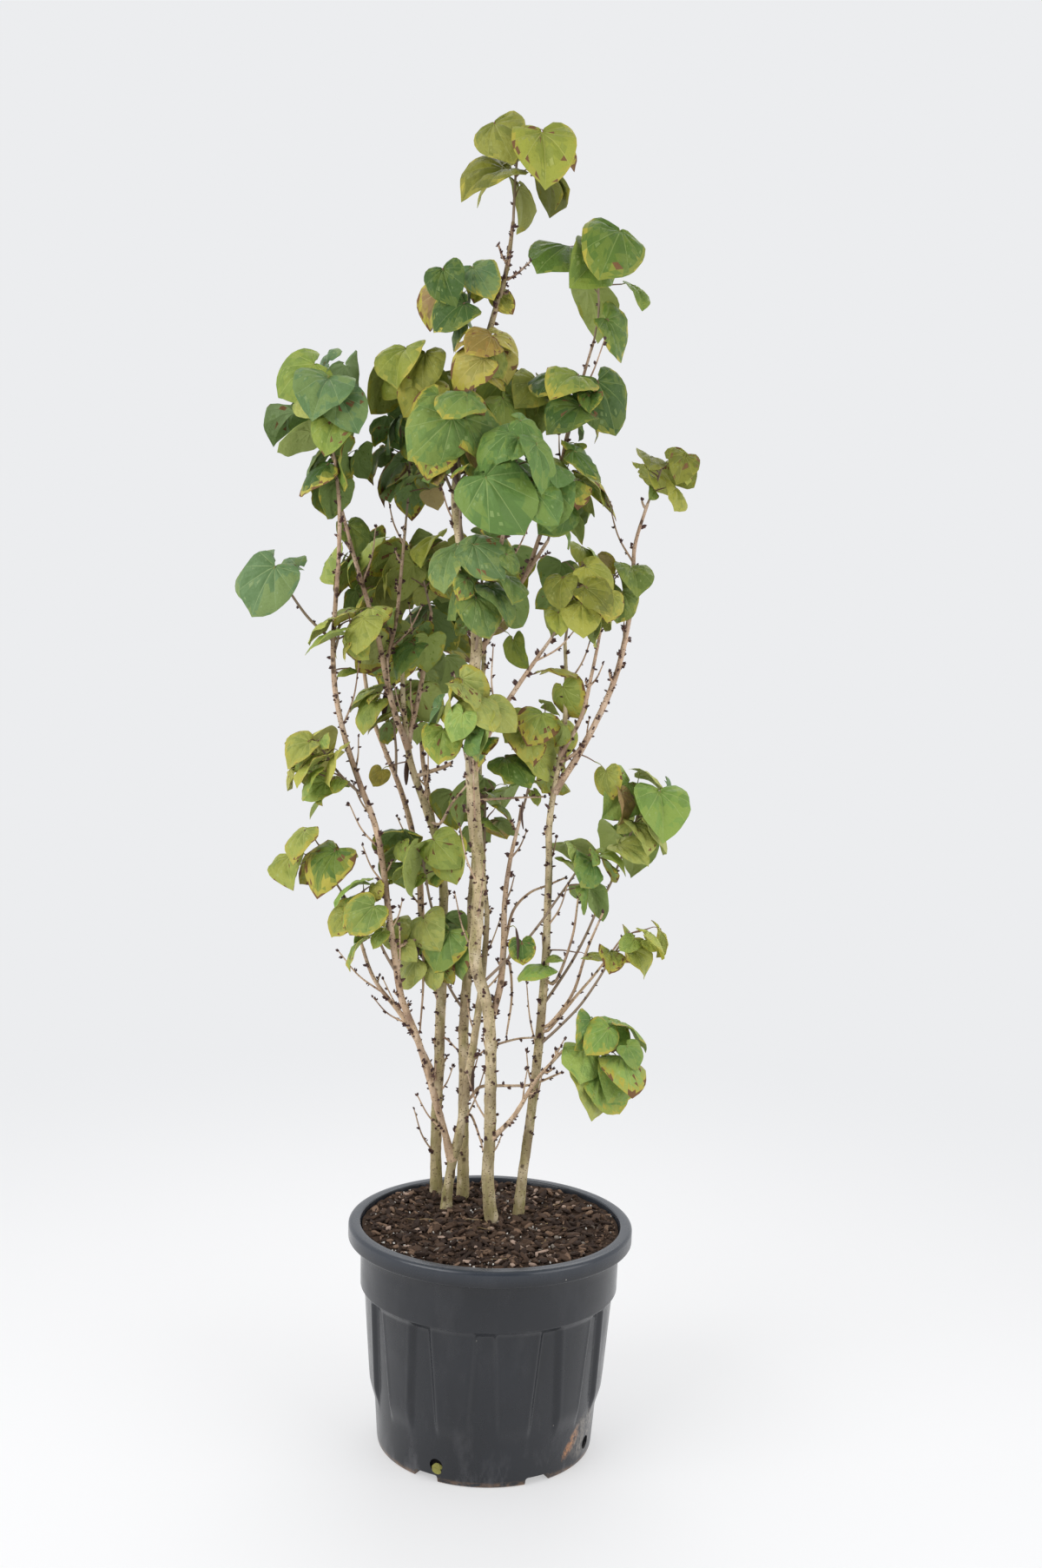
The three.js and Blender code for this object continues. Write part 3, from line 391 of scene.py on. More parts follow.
def meets_blade(edge, after, middle, start, end, keep):
    """Which stretches start-end (..., 3) come within keep of the blades, or pass through them?"""
    start, end, middle = start[..., None, :], end[..., None, :], middle[..., None, :]
    keep = np.asarray(keep)[..., None]
    return ((gap(start, end, edge, after) < keep) | (gap(start, end, edge, middle) < keep)
            | pierces(start, end, edge, after, middle)).any(-1)


def outlines(edge, after, middle):
    """Blades' edges and spokes as stretches."""
    spokes = np.broadcast_to(middle[..., None, :], edge.shape)
    return np.concatenate([edge, edge], -2), np.concatenate([after, spokes], -2)


def grown_blades(near):
    return [grown[key][near] for key in ("edge", "after", "middle")]


def clears_blades(blade):
    """Do a blade and its stalk keep clear of the blades that have grown before?"""
    length = grown["length"]
    apart = np.linalg.norm(grown["centre"] - blade.centre, axis=1)
    near = apart <= BLADE_REACH * (blade.length + length)
    if near.any():
        theirs, ours = grown_blades(near), outlines(blade.edge, blade.after, blade.middle)
        if meets_blade(*(part[:, None] for part in theirs), *(part[None] for part in ours),
                       BLADE_CLEARANCE).any():
            return False
        a, b = outlines(*theirs)
        if pierces(a[:, :, None], b[:, :, None], blade.edge, blade.after, blade.middle[None]).any():
            return False
    near = gap(blade.root, blade.joint, grown["centre"], grown["joint"]) <= length
    return not (near.any() and meets_blade(*grown_blades(near), blade.root[None], blade.joint[None],
                                           BLADE_CLEARANCE).any())


def grows_free(mass, blade):
    """Does a blade keep to its space, with a stalk from behind, clear of what has grown before?"""
    if not ((((blade.edge - mass.middle) / mass.reach) ** 2).sum(1) < SPACE_LIMIT).all():
        return False
    stalk = blade.root - blade.joint
    span = np.linalg.norm(stalk)
    if blade.kind is POD and span > POD_REACH:
        return False
    stalk = stalk / span
    if stalk @ blade.along > STALK_SIDE or stalk @ blade.normal > STALK_SIDE:
        return False
    if "edge" in grown and not clears_blades(blade):
        return False
    near = gap(grown["a"], grown["b"], blade.centre, blade.root) <= blade.length + grown["radius"]
    a, b, radius, owner = (grown[key][near] for key in ("a", "b", "radius", "owner"))
    keep = radius + BLADE_CLEARANCE
    return bool((((owner == mass.name) | (gap(a, b, blade.root, blade.joint) > keep))
                 & (gap(a, b, blade.joint, blade.middle) > keep)
                 & ~meets_blade(blade.edge[None], blade.after[None], blade.middle[None], a, b, keep)).all())


def record(news):
    """Adds rows to what has grown."""
    for key, new in news.items():
        grown[key] = np.concatenate([grown[key], new]) if key in grown else new


def record_bars(name, path, radii):
    path, radii = np.array(path), np.array(radii)
    record({"a": path[:-1], "b": path[1:], "radius": np.maximum(radii[:-1], radii[1:]),
            "owner": np.array([name] * (len(path) - 1))})


def roots_on(path):
    return np.array([lerp(a, b, root) for a, b in zip(path, path[1:]) for root in TWIG_ROOTS])


def root_of(places, target):
    """The nearest place that a twig to the target can grow from, best from below."""
    cost = np.linalg.norm(places - target, axis=1) + np.maximum(0, places[:, 2] - target[2])
    return places[int(np.argmin(cost))]


def grow_blade(mass, kind, sizes, index, places, attempts=ATTEMPTS):
    """One more blade on a mass, in the first place of those tried that is free."""
    for attempt in range(attempts):
        blade = place_blade(mass, kind, sizes, index, attempt)
        blade.root = root_of(places, blade.joint)
        if grows_free(mass, blade):
            mass.blades.append(blade)
            record({key: np.asarray(getattr(blade, key))[None]
                    for key in ("edge", "after", "middle", "centre", "joint", "length")})
            record_bars(mass.name, [blade.root, blade.joint], TWIG_SIDE_RADII)
            return


def grow_foliage():
    for mass in masses:
        places = roots_on(mass.path)
        for index in range(mass.pods + mass.count):
            kind, sizes = (POD, POD_LENGTH) if index < mass.pods else (LEAF, mass.sizes)
            grow_blade(mass, kind, sizes, index, places)


# What has grown so far: the blades, and the wood as straight bars from a to b.
grown = {}
limbs = grow_limbs()
masses = [grow_stem(row) for row in MASSES]
for wood in [*limbs.values(), *masses]:
    record_bars(wood.name, wood.path, wood.radii)
grow_foliage()

# ---------------------------------------------------------------- small leaves and lone leaves
FILL_SHARE = 1.0  # small leaves added in each mass, as a share of its leaves
OPEN_SHARE = 0.3  # the same share in the open sprays round the edge
OPEN_SPRAYS = ("top", "upper_left", "right_top", "right_top_low", "far_left", "top_right", "right_upper",
               "right_pair", "left_outer")
FILL_SIZES = (0.5, 0.82)  # their lengths, as shares of the mass's shortest and longest leaf
FILL_ROOTS = (0.3, 0.5)  # where they root on the side twigs of the larger leaves
FILL_FIRST = 40  # their first index in the mass's draws
FILL_ATTEMPTS = 70
TWIG_DETAIL = (5, 7)  # step and sides

# Single leaves and pods on the limbs: kind, tint, the stalk's end, the tip and the way it faces.
LONE_BLADES = [
    [LEAF, "mid", [33, -6, 758], [37, -10, 721], [0.1, -1, 0.3]],
    [LEAF, "lime", [70, 30, 716], [30, 4, 699], [0, -0.12, 1]],
    [LEAF, "lime", [92, 30, 728], [69, 20, 725], [0, -0.3, 1]],
    [LEAF, "lime", [131, 20, 735], [168, 10, 730], [0.1, -0.15, 1]],
    [LEAF, "olive", [5, 40, 1201], [24, 35, 1155], [-0.8, -0.55, 0.2]],
    [LEAF, "lime", [82, 50, 1134], [112, 45, 1084], [-0.7, -0.6, 0.3]],
    [LEAF, "lime", [53, 50, 1157], [104, 30, 1150], [0, -0.05, 1]],
    [LEAF, "gold", [-189, 100, 997], [-201, 95, 971], [0, -1, 0.2]],
    [LEAF, "lime", [150, 40, 1011], [160, 35, 966], [-0.5, -0.8, 0.2]],
    [LEAF, "olive", [-231, 40, 1150], [-254, 30, 1139], [0, -0.3, 1]],
    [LEAF, "olive", [-31, 17, 1698], [-10, 12, 1669], [0.2, -1, 0.2]],
    [LEAF, "olive", [-54, 17, 1717], [-67, 10, 1683], [-0.3, -1, 0.2]],
    [LEAF, "olive", [89, 20, 1487], [73, 10, 1456], [-0.7, -0.7, 0.1]],
    [LEAF, "olive", [-244, 60, 1365], [-224, 55, 1318], [0.5, -0.8, 0.2]],
    [POD, "mid", [-150, 118, 1020], [-152, 112, 975], [0.6, -0.8, 0]],
    [POD, "mid", [-30, 30, 702], [-26, 24, 665], [0.8, -0.6, 0]],
    [POD, "mid", [-34, 60, 548], [-33, 54, 513], [0.7, -0.7, 0]],
    [POD, "mid", [24, -8, 777], [28, -12, 733], [0.8, -0.5, 0]],
    [POD, "mid", [28, 22, 962], [30, 20, 922], [0.9, -0.4, 0]],
]


def fill_out():
    """Small leaves on finer twigs, which root on the side twigs and keep to the same spaces."""
    for mass in masses:
        sizes = [size * share for size, share in zip(mass.sizes, FILL_SIZES)]
        count = round((OPEN_SHARE if mass.name in OPEN_SPRAYS else FILL_SHARE) * mass.count)
        for index in range(FILL_FIRST, FILL_FIRST + count):
            side = [lerp(blade.root, blade.joint, share) for blade in mass.blades
                    if blade.kind is LEAF and blade.length > mass.sizes[0] for share in FILL_ROOTS]
            places = np.concatenate([roots_on(mass.path), np.array(side).reshape(-1, 3)])
            grow_blade(mass, LEAF, sizes, index, places, FILL_ATTEMPTS)


def curve_through(points, step):
    """A Catmull-Rom curve through the points, about one step apart, and the share of the way at each."""
    points = np.array(points, float)
    ends = np.vstack([2 * points[0] - points[1], points, 2 * points[-1] - points[-2]])
    result, shares = [], []
    for i in range(len(points) - 1):
        p0, p1, p2, p3 = ends[i:i + 4]
        count = max(1, round(np.linalg.norm(p2 - p1) / step))
        for t in np.arange(count) / count:
            result.append(0.5 * (2 * p1 + (p2 - p0) * t + (2 * p0 - 5 * p1 + 4 * p2 - p3) * t * t
                                 + (3 * p1 - p0 - 3 * p2 + p3) * t ** 3))
            shares.append(i + t)
    return np.array(result + [points[-1]]), np.array(shares + [len(points) - 1.0])


def nearest_on_limbs(point):
    places = np.concatenate([curve_through(wood.path, TWIG_DETAIL[0])[0] for wood in limbs.values()])
    return places[np.argmin(np.linalg.norm(places - point, axis=1))]


def grow_lone_blades():
    for kind, tint, base, tip, facing in LONE_BLADES:
        base = np.array(base, float)
        span = tip - base
        along = unit(span)
        normal = unit(facing - along * (along @ np.array(facing, float)))
        blade = make_blade(kind, base, float(np.linalg.norm(span)), along, normal, lone=True,
                           root=nearest_on_limbs(base))
        next(mass for mass in masses if mass.tint == tint).blades.append(blade)


fill_out()
grow_lone_blades()

# ---------------------------------------------------------------- meshes
SHARP = math.radians(40)


def placed(name, data):
    """A new object in the scene."""
    result = bpy.data.objects.new(name, data)
    bpy.context.scene.collection.objects.link(result)
    return result


class Heap:
    """The points and faces of many small forms, which become one mesh."""

    def __init__(self):
        self.points, self.faces, self.slots, self.count = [], [], [], 0

    def add(self, points, blocks, slots=0):
        """Blocks are arrays of faces with the same number of corners."""
        for faces in blocks:
            self.faces += (np.asarray(faces) + self.count).tolist()
            self.slots.append(np.broadcast_to(slots, len(faces)))
        self.points.append(np.asarray(points, float).reshape(-1, 3))
        self.count += len(self.points[-1])

    def mesh(self, name):
        mesh = bpy.data.meshes.new(name)
        mesh.from_pydata((np.concatenate(self.points) * MM).tolist(), [], self.faces)
        return mesh

    def piece(self, name, materials, nodes, slot):
        mesh = self.mesh(name)
        for material in materials:
            mesh.materials.append(material)
        mesh.polygons.foreach_set("material_index", np.concatenate(self.slots).astype(np.int32))
        mesh.polygons.foreach_set("use_smooth", np.ones(len(self.faces), bool))
        mesh.set_sharp_from_angle(angle=SHARP)
        piece = placed(name, mesh)
        if nodes:
            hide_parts(*nodes)
        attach(piece, "root")
        return piece


def grid_faces(rows, columns):
    """Quads between rows of points, closed round each row."""
    row, column = np.meshgrid(np.arange(rows - 1) * columns, np.arange(columns), indexing="ij")
    after = (column + 1) % columns
    quads = [row + column, row + after, row + columns + after, row + columns + column]
    return np.stack(quads, -1).reshape(-1, 4)


def round_faces(rows, columns):
    """Those quads, and the fans to one more point at the foot and one at the top."""
    ring, foot = np.arange(columns), np.full(columns, rows * columns)
    after, last = (ring + 1) % columns, (rows - 1) * columns
    fans = [np.stack([foot, after, ring], -1), np.stack([foot + 1, last + ring, last + after], -1)]
    return grid_faces(rows, columns), np.concatenate(fans)


def halved(quads):
    return np.concatenate([quads[:, [0, 1, 2]], quads[:, [0, 2, 3]]])


def turns_of(count):
    return TURN * np.arange(count) / count


def lengths_along(path):
    return np.concatenate([[0], np.cumsum(np.linalg.norm(np.diff(path, axis=0), axis=1))])


def frames_along(path):
    """At each point of a path the way ahead and two directions square to it, without twist."""
    ahead = np.gradient(path, axis=0)
    ahead /= np.linalg.norm(ahead, axis=1)[:, None]
    side = np.array([1.0, 0, 0]) if abs(ahead[0][0]) < 0.9 else np.array([0, 1.0, 0])
    sides = []
    for direction in ahead:
        side = unit(side - direction * (side @ direction))
        sides.append(side)
    return ahead, np.array(sides), np.cross(ahead, sides)


TIP_BULGE = 0.6  # how far a bar's rounded end reaches, in radii


def add_tube(heap, path, radii, sides, slot=0, relief=None):
    """A round bar along a path. relief(points) gives how far each point is pushed out."""
    path, radii = np.asarray(path), np.asarray(radii, float)
    ahead, side, other = frames_along(path)
    turns = turns_of(sides)[None, :, None]
    outward = np.cos(turns) * side[:, None] + np.sin(turns) * other[:, None]
    points = path[:, None] + outward * radii[:, None, None]
    if relief is not None:
        points = points + outward * relief(points)[..., None]
    tip = path[-1] + ahead[-1] * radii[-1] * TIP_BULGE
    heap.add(np.concatenate([points.reshape(-1, 3), [path[0], tip]]), round_faces(len(path), sides), slot)


def bead_form(rings, sides):
    """A unit bead along Z: its points and faces."""
    levels = np.linspace(-1, 1, rings + 2)[1:-1]
    wide, turns = np.sqrt(1 - levels ** 2)[:, None], turns_of(sides)
    points = np.stack([wide * np.cos(turns), wide * np.sin(turns), levels[:, None] + 0 * turns], -1)
    quads, fans = round_faces(rings, sides)
    return np.concatenate([points.reshape(-1, 3), [(0, 0, -1), (0, 0, 1)]]), (halved(quads), fans)


# ---------------------------------------------------------------- bark and buds
STEM_DETAIL = (4.0, 14)  # step and sides
BOUGH_DETAIL = (4.0, 10)
BARK_ROUGH = 0.05  # depth of the bark's relief, as a share of the radius
BARK_GRAIN = ((0.09, 0.03, 1.3), (0.45, 0.16, 1.0))  # noise: scale across, scale up, weight
BARK_SEED = 7.3  # from one limb's bark noise to the next
COLLAR_LENGTH = 16  # how far a bough's swollen foot reaches
COLLAR_SWELL = 0.45
FOOT_DEPTH = 6  # how deep a stem stands in the mulch
FOOT_SWELL = (0.12, 14)  # of a stem at the soil, and how fast it goes with the height
NODE_STEP = (19, 33)  # distance from one bud cluster to the next
NODE_FIRST, TWIG_NODE_FIRST = 8.0, 3.0  # the least distance from a limb's foot to its first node
NODE_SWELL = 0.15
NODE_REACH = (0.7, 2.5)  # of the swelling: share of the radius, and a length
NODE_FALL = 1.6
NODE_STRAY = 1.1  # how far nodes stray from opposite sides
NODE_END = 3  # no node is nearer to a limb's end
KNOT_START = 330  # below this height the bark has no swellings
BUD_START = (370, 200)  # the height below which the buds have gone, and how far that varies
BUD_BEAD = bead_form(2, 5)
BUD_COUNT = (3, 6)
BUD_LENGTH = (3.2, 5.6)
BUD_WIDTH = 0.55
BUD_TAPER = 0.35
BUD_HALF, STUB_HALF = 0.62, 0.6  # half of the bead's length, as a share of the bud's
BUD_SEAT, STUB_SEAT = 0.75, 0.7  # how far from its foot the bead's middle lies, in half lengths
BUD_LEAN = ((0.75, 1.25), (-0.1, 1), (-0.75, 0.75))  # outward, along the limb and across it
STUB_LEAN = ((-0.2, 0.8), (-0.5, 0.5))  # along the limb and across it
BUD_STRAY = ((-1.5, 1.5), (-2, 2))  # across the limb and along it
STUB_STRAY = ((-1.75, 1.75), (-2.5, 2.5))
BEAD_DEPTH = 0.85  # how far from the limb's axis they root, in radii
OLD_BUDS, TWIG_BUDS, SPUR_BUDS = 1.5, 0.8, 0.85  # sizes of the buds
SPUR_SHARE = 0.38
SPUR_LENGTH = (4, 17)
SPUR_SHORT = 1.5  # how much the short ones prevail
SPUR_RADII = (1.7, 1.25)
SPUR_UNEVEN = 0.25
SPUR_DETAIL = (2.5, 6)
SPUR_LEAN = (0.2, 1.0)  # along the limb
SPUR_RISE = (0.3, 0.25)  # of the whole spur, and of its end
SPUR_LONG = 8  # a longer one bears its buds closer together
SPUR_END, TWIG_END = 1, 0.8  # the radius round which the last buds stand
STUB_STEP = (7, 19)  # distance between the small stubs that crowd on old wood
STUB_HEIGHTS = (430, 1320)
STUB_RADIUS = 3.6  # a thinner limb has none
STUB_SHARE = 0.8
STUB_LENGTH = (2.6, 7.5)
STUB_SHORT = 1.4
STUB_WIDTH = (1.25, 1.875)
SHOOT_STEP = (45, 115)  # distance between bare side shoots
SHOOT_LENGTH = (30, 115)
SHOOT_RADII = (1.7, 0.9)
SHOOT_LEAN = (0.55, 0.75, 0.25)  # out, along the limb and up
SHOOT_BOW = (0.06, 0.08)  # of its middle outward and of its end upward, as shares of its length
SHOOT_HEIGHTS = (370, 1560)
SHOOT_REACH = 230  # from the plant's axis
SHOOT_CLEARANCE = 3.5
LEADER_START = 1560  # above it the leader's buds crowd
LEADER_STEP = (9, 17)

# Bare twigs between the stems: the points they pass through from their limb on, the radii, and the
# steps of the buds.
CROSS_TWIGS = [
    [[[-39, 100, 491], [-24, 98, 509], [6, 95, 513], [30, 90, 515], [58, 84, 520], [100, 70, 543]],
     [3, 1.6], (12, 20)],
    [[[2, 25, 595], [32, 30, 603], [60, 34, 605]], [2, 1.4], (12, 22)],
    [[[-36, 90, 466], [-20, 60, 437], [-15, 30, 429]], [2.2, 1.3], (12, 20)],
    [[[-79, 120, 578], [-63, 100, 568]], [2, 1.3], (10, 16)],
    [[[-34, 90, 555], [-19, 50, 578]], [2, 1.3], (10, 16)],
    [[[9, 30, 753], [19, 45, 795], [42, 60, 820], [69, 66, 832], [95, 60, 845]], [2.6, 1.5], NODE_STEP],
    [[[86, 30, 692], [108, 20, 760], [115, 15, 821]], [2.6, 1.5], NODE_STEP],
    [[[78, 40, 623], [112, 30, 674], [131, 20, 743], [152, 10, 801]], [3, 1.6], NODE_STEP],
    [[[77, 40, 615], [117, 50, 665], [149, 60, 703], [185, 60, 756]], [2.8, 1.5], NODE_STEP],
    [[[-121, 60, 741], [-115, 70, 677], [-118, 75, 601]], [2.4, 1.4], NODE_STEP],
    [[[16, 40, 715], [21, 35, 665], [15, 25, 609]], [2.4, 1.4], (12, 20)],
    [[[-42, 30, 961], [12, 45, 965], [59, 50, 968]], [2.4, 1.4], NODE_STEP],
    [[[-96, 80, 920], [-79, 60, 952], [-55, 20, 985]], [2.6, 1.4], NODE_STEP],
    [[[-15, 17, 1738], [-25, 17, 1747], [-33, 17, 1766]], [2, 1.5], (4, 7)],
    [[[-18, 16, 1718], [-3, 14, 1728], [13, 12, 1743]], [2, 1.5], (4, 7)],
    [[[-19, 16, 1698], [-33, 18, 1704], [-47, 20, 1718]], [2, 1.5], (4, 7)],
    [[[-96, 118, 1003], [-84, 110, 1010]], [3.4, 3], (5, 9)],
    [[[84, 38, 1022], [104, 34, 1036], [112, 32, 1047]], [3.2, 2.4], (5, 9)],
]


def fine_path(wood, step):
    """The path of a limb or a mass's stem, smoother, and its radii."""
    path, shares = curve_through(wood.path, step)
    return path, np.interp(shares, np.arange(len(wood.path)), wood.radii)


def place_on(path, frames, i, turn, radius):
    """A place on a bar: its axis, the side it lies on, the way ahead and the radius."""
    ahead, side, other = (axes[i] for axes in frames)
    return SimpleNamespace(at=path[i], outward=side * math.cos(turn) + other * math.sin(turn), ahead=ahead,
                           radius=radius)


def nodes_along(path, radii, draw, first=NODE_FIRST, steps=NODE_STEP):
    """The places of the buds on a bar."""
    lengths, frames = lengths_along(path), frames_along(path)
    reached, places, turn = first + steps[0] * draw(), [], draw() * TURN
    while reached < lengths[-1] - NODE_END:
        i = int(np.searchsorted(lengths, reached))
        turn += math.pi + (draw() - 0.5) * NODE_STRAY
        places.append(place_on(path, frames, i, turn, radii[i]))
        reached += lerp(*steps, draw())
    return places


def bark_relief(radii, places, seed):
    """Uneven bark, with long shallow folds and a swelling at each place."""
    def relief(points):
        x, y, z = points.reshape(-1, 3).T
        grain = sum(weight * np.array([noise.noise(Vector(spot)) for spot in
                                       zip(x * across, y * across, z * up + seed)])
                    for across, up, weight in BARK_GRAIN)
        push = radii[:, None] * BARK_ROUGH * grain.reshape(points.shape[:2])
        for place in places:
            spot = place.at + place.outward * place.radius
            reach = NODE_REACH[0] * place.radius + NODE_REACH[1]
            distance = np.linalg.norm(points - spot, axis=2) / reach
            push += place.radius * NODE_SWELL * np.exp(-distance ** 2 * NODE_FALL)
        return push
    return relief


def strewn(ways, spans, draw):
    """A sum of directions, each by a length drawn within its span."""
    return sum(way * lerp(*span, draw()) for way, span in zip(ways, spans))


def strayed(place, draw, stray, scale=1.0):
    """The foot of a bud that strays over the bark."""
    foot = place.at + place.outward * place.radius * BEAD_DEPTH
    return foot + strewn((np.cross(place.outward, place.ahead), place.ahead), stray, draw) * scale


def add_bead(heap, foot, lean, wide, half_width, half_length, seat, slot):
    form, faces = BUD_BEAD
    shaped = (form[:, :1] * wide + form[:, 1:2] * np.cross(lean, wide)) * half_width
    heap.add(foot + shaped + (form[:, 2:] + seat) * lean * half_length, faces, slot)


def add_buds(heap, place, draw, scale=1.0):
    """A crowded cluster of pointed buds over a leaf scar."""
    outward, ahead = place.outward, place.ahead
    across = np.cross(outward, ahead)
    taper = 1 - BUD_TAPER * (BUD_BEAD[0][:, 2:] + 1) / 2
    for k in range(BUD_COUNT[0] + int((BUD_COUNT[1] - BUD_COUNT[0] + 1) * draw())):
        half = lerp(*BUD_LENGTH, draw()) * scale * BUD_HALF
        lean = unit(strewn((outward, ahead, across), BUD_LEAN, draw))
        wide = unit(np.cross(lean, ahead + 0.01 * across))
        foot = strayed(place, draw, BUD_STRAY, scale)
        add_bead(heap, foot, lean, wide, BUD_WIDTH * taper * half, half, BUD_SEAT, k % 2)


def add_stub(heap, place, draw):
    """One or two small dark buds, or what is left of them, pressed to the bark."""
    across = np.cross(place.outward, place.ahead)
    for _ in range(1 + int(2 * draw())):
        half = lerp(*STUB_LENGTH, draw() ** STUB_SHORT) * STUB_HALF
        lean = unit(place.outward + strewn((place.ahead, across), STUB_LEAN, draw))
        wide = unit(np.cross(lean, place.ahead))
        foot = strayed(place, draw, STUB_STRAY)
        half_width = lerp(*STUB_WIDTH, draw())
        add_bead(heap, foot, lean, wide, half_width, half, STUB_SEAT, int(2 * draw()))


def add_spur(heap, buds, place, draw):
    """A short knobbly spur with buds up its sides and round its end."""
    length = lerp(*SPUR_LENGTH, draw() ** SPUR_SHORT)
    lean = unit(place.outward + place.ahead * lerp(*SPUR_LEAN, draw()) + SPUR_RISE[0] * UP)
    start = place.at + place.outward * place.radius * 0.5
    line = [start, start + lean * length * 0.55, start + (lean + SPUR_RISE[1] * UP) * length]
    step, sides = SPUR_DETAIL
    path, _ = curve_through(line, step)
    radii = np.linspace(*SPUR_RADII, len(path)) * (1 + SPUR_UNEVEN * np.array([draw() for _ in path]))
    add_tube(heap, path, radii, sides)
    frames = frames_along(path)
    for i in range(1, len(path), 2 if length > SPUR_LONG else 3):
        add_buds(buds, place_on(path, frames, i, TURN * draw(), radii[i]), draw, SPUR_BUDS)
    ahead, side = frames[0][-1], frames[1][-1]
    outward = unit(ahead + 0.1 * side)
    add_buds(buds, SimpleNamespace(at=path[-1], outward=outward, ahead=side, radius=SPUR_END), draw)


def is_free(line, name):
    """Does a bare shoot on the named limb keep clear of the blades and of other wood?"""
    start, end, away = line[:-1, None], line[1:, None], grown["owner"] != name
    return not (meets_blade(*grown_blades(slice(None)), start, end, SHOOT_CLEARANCE).any()
                or (gap(start, end, grown["a"][away], grown["b"][away])
                    < grown["radius"][away] + SHOOT_CLEARANCE).any())


def grow_shoots(wood, path, draw):
    """Slim bare shoots on a limb, where there is room between the leaves."""
    lengths, frames = lengths_along(path), frames_along(path)
    reached, shoots = SHOOT_STEP[0] * draw(), []
    while reached < lengths[-1]:
        i = int(np.searchsorted(lengths, reached))
        turn, length = TURN * draw(), lerp(*SHOOT_LENGTH, draw())
        reached += lerp(*SHOOT_STEP, draw())
        place = place_on(path, frames, i, turn, 0)
        lean = unit(place.outward * SHOOT_LEAN[0] + place.ahead * SHOOT_LEAN[1] + SHOOT_LEAN[2] * UP)
        middle = place.at + lean * length * 0.5 + place.outward * length * SHOOT_BOW[0]
        end = place.at + lean * length
        line = np.array([place.at, middle, end + SHOOT_BOW[1] * UP * length])
        outside = np.hypot(end[0] - PLANT_AXIS[0], end[1] - PLANT_AXIS[1]) > SHOOT_REACH
        if SHOOT_HEIGHTS[0] < place.at[2] < SHOOT_HEIGHTS[1] and not outside and is_free(line, wood.name):
            shoots.append(line)
            record_bars(wood.name, line, [SHOOT_RADII[0]] * 3)
    return shoots


def add_bare_twig(heap, buds, line, radii, steps, draw):
    """A bare twig with clusters of buds up its sides and one at its end."""
    step, sides = TWIG_DETAIL
    path, _ = curve_through(line, step)
    thin = np.linspace(*radii, len(path))
    add_tube(heap, path, thin, sides)
    for place in nodes_along(path, thin, draw, TWIG_NODE_FIRST, steps):
        add_buds(buds, place, draw)
    ahead = unit(path[-1] - path[-2])
    side = unit(np.cross(ahead, [1, 0.2, 0]))
    add_buds(buds, SimpleNamespace(at=path[-1], outward=ahead, ahead=side, radius=TWIG_END), draw)


def grow_limb_bark(index, wood, heap, boughs, buds):
    """One limb's bark in a heap, and what grows on it in the boughs' and the buds' heaps."""
    draw = seeded(SEEDS["bark"] + index)
    step, sides = STEM_DETAIL if wood.on_soil else BOUGH_DETAIL
    path, radii = fine_path(wood, step)
    places = nodes_along(path, radii, draw)
    if wood.name == "stem_centre":
        leader = path[:, 2] > LEADER_START
        places += nodes_along(path[leader], radii[leader], draw, steps=LEADER_STEP)
    knots = [place for place in places if place.at[2] > KNOT_START]
    if wood.on_soil:
        path[0, 2] -= FOOT_DEPTH
        radii = radii * (1 + FOOT_SWELL[0] * np.exp(-(path[:, 2] - path[0, 2]) / FOOT_SWELL[1]))
    else:
        radii = radii * (1 + COLLAR_SWELL * np.exp(-(lengths_along(path) / COLLAR_LENGTH) ** 2))
    add_tube(heap, path, radii, sides, relief=bark_relief(radii, knots, BARK_SEED * index))
    for place in places:
        if place.at[2] > BUD_START[0] + BUD_START[1] * draw():
            if draw() < SPUR_SHARE:
                add_spur(boughs, buds, place, draw)
            else:
                add_buds(buds, place, draw, OLD_BUDS)
    crowd = seeded(SEEDS["stubs"] + index)
    for place in nodes_along(path, radii, crowd, steps=STUB_STEP):
        inside = STUB_HEIGHTS[0] < place.at[2] < STUB_HEIGHTS[1]
        if inside and place.radius > STUB_RADIUS and crowd() < STUB_SHARE:
            add_stub(buds, place, crowd)
    for shoot in grow_shoots(wood, path, draw):
        add_bare_twig(boughs, buds, shoot, SHOOT_RADII, NODE_STEP, draw)


def grow_bark(stems, boughs, buds):
    for index, wood in enumerate(limbs.values()):
        grow_limb_bark(index, wood, stems if wood.on_soil else boughs, boughs, buds)
    draw = seeded(SEEDS["bare"])
    for line, radii, steps in CROSS_TWIGS:
        add_bare_twig(boughs, buds, [nearest_on_limbs(line[0])] + line, radii, steps, draw)


# ---------------------------------------------------------------- twigs, stalks and leaves
PETIOLE_SHARE = 0.42  # of the leaf's length
PETIOLE_LIMIT = 0.62  # of the way from the twig's root to the leaf
PETIOLE_RADII = (0.95, 0.55, 0.75)
PETIOLE_DETAIL = (4, 5)
PETIOLE_ARCH = 0.14
PETIOLE_GRIP = 0.05  # how far the stalk runs on under the leaf
SIDE_RADII = (1.35, 0.95)
SIDE_DETAIL = (6, 6)
SIDE_LIFT = 0.16  # of the side twig's end, as a share of the stalk
SIDE_BOW = (0.35, 0.12)  # upward, and all ways

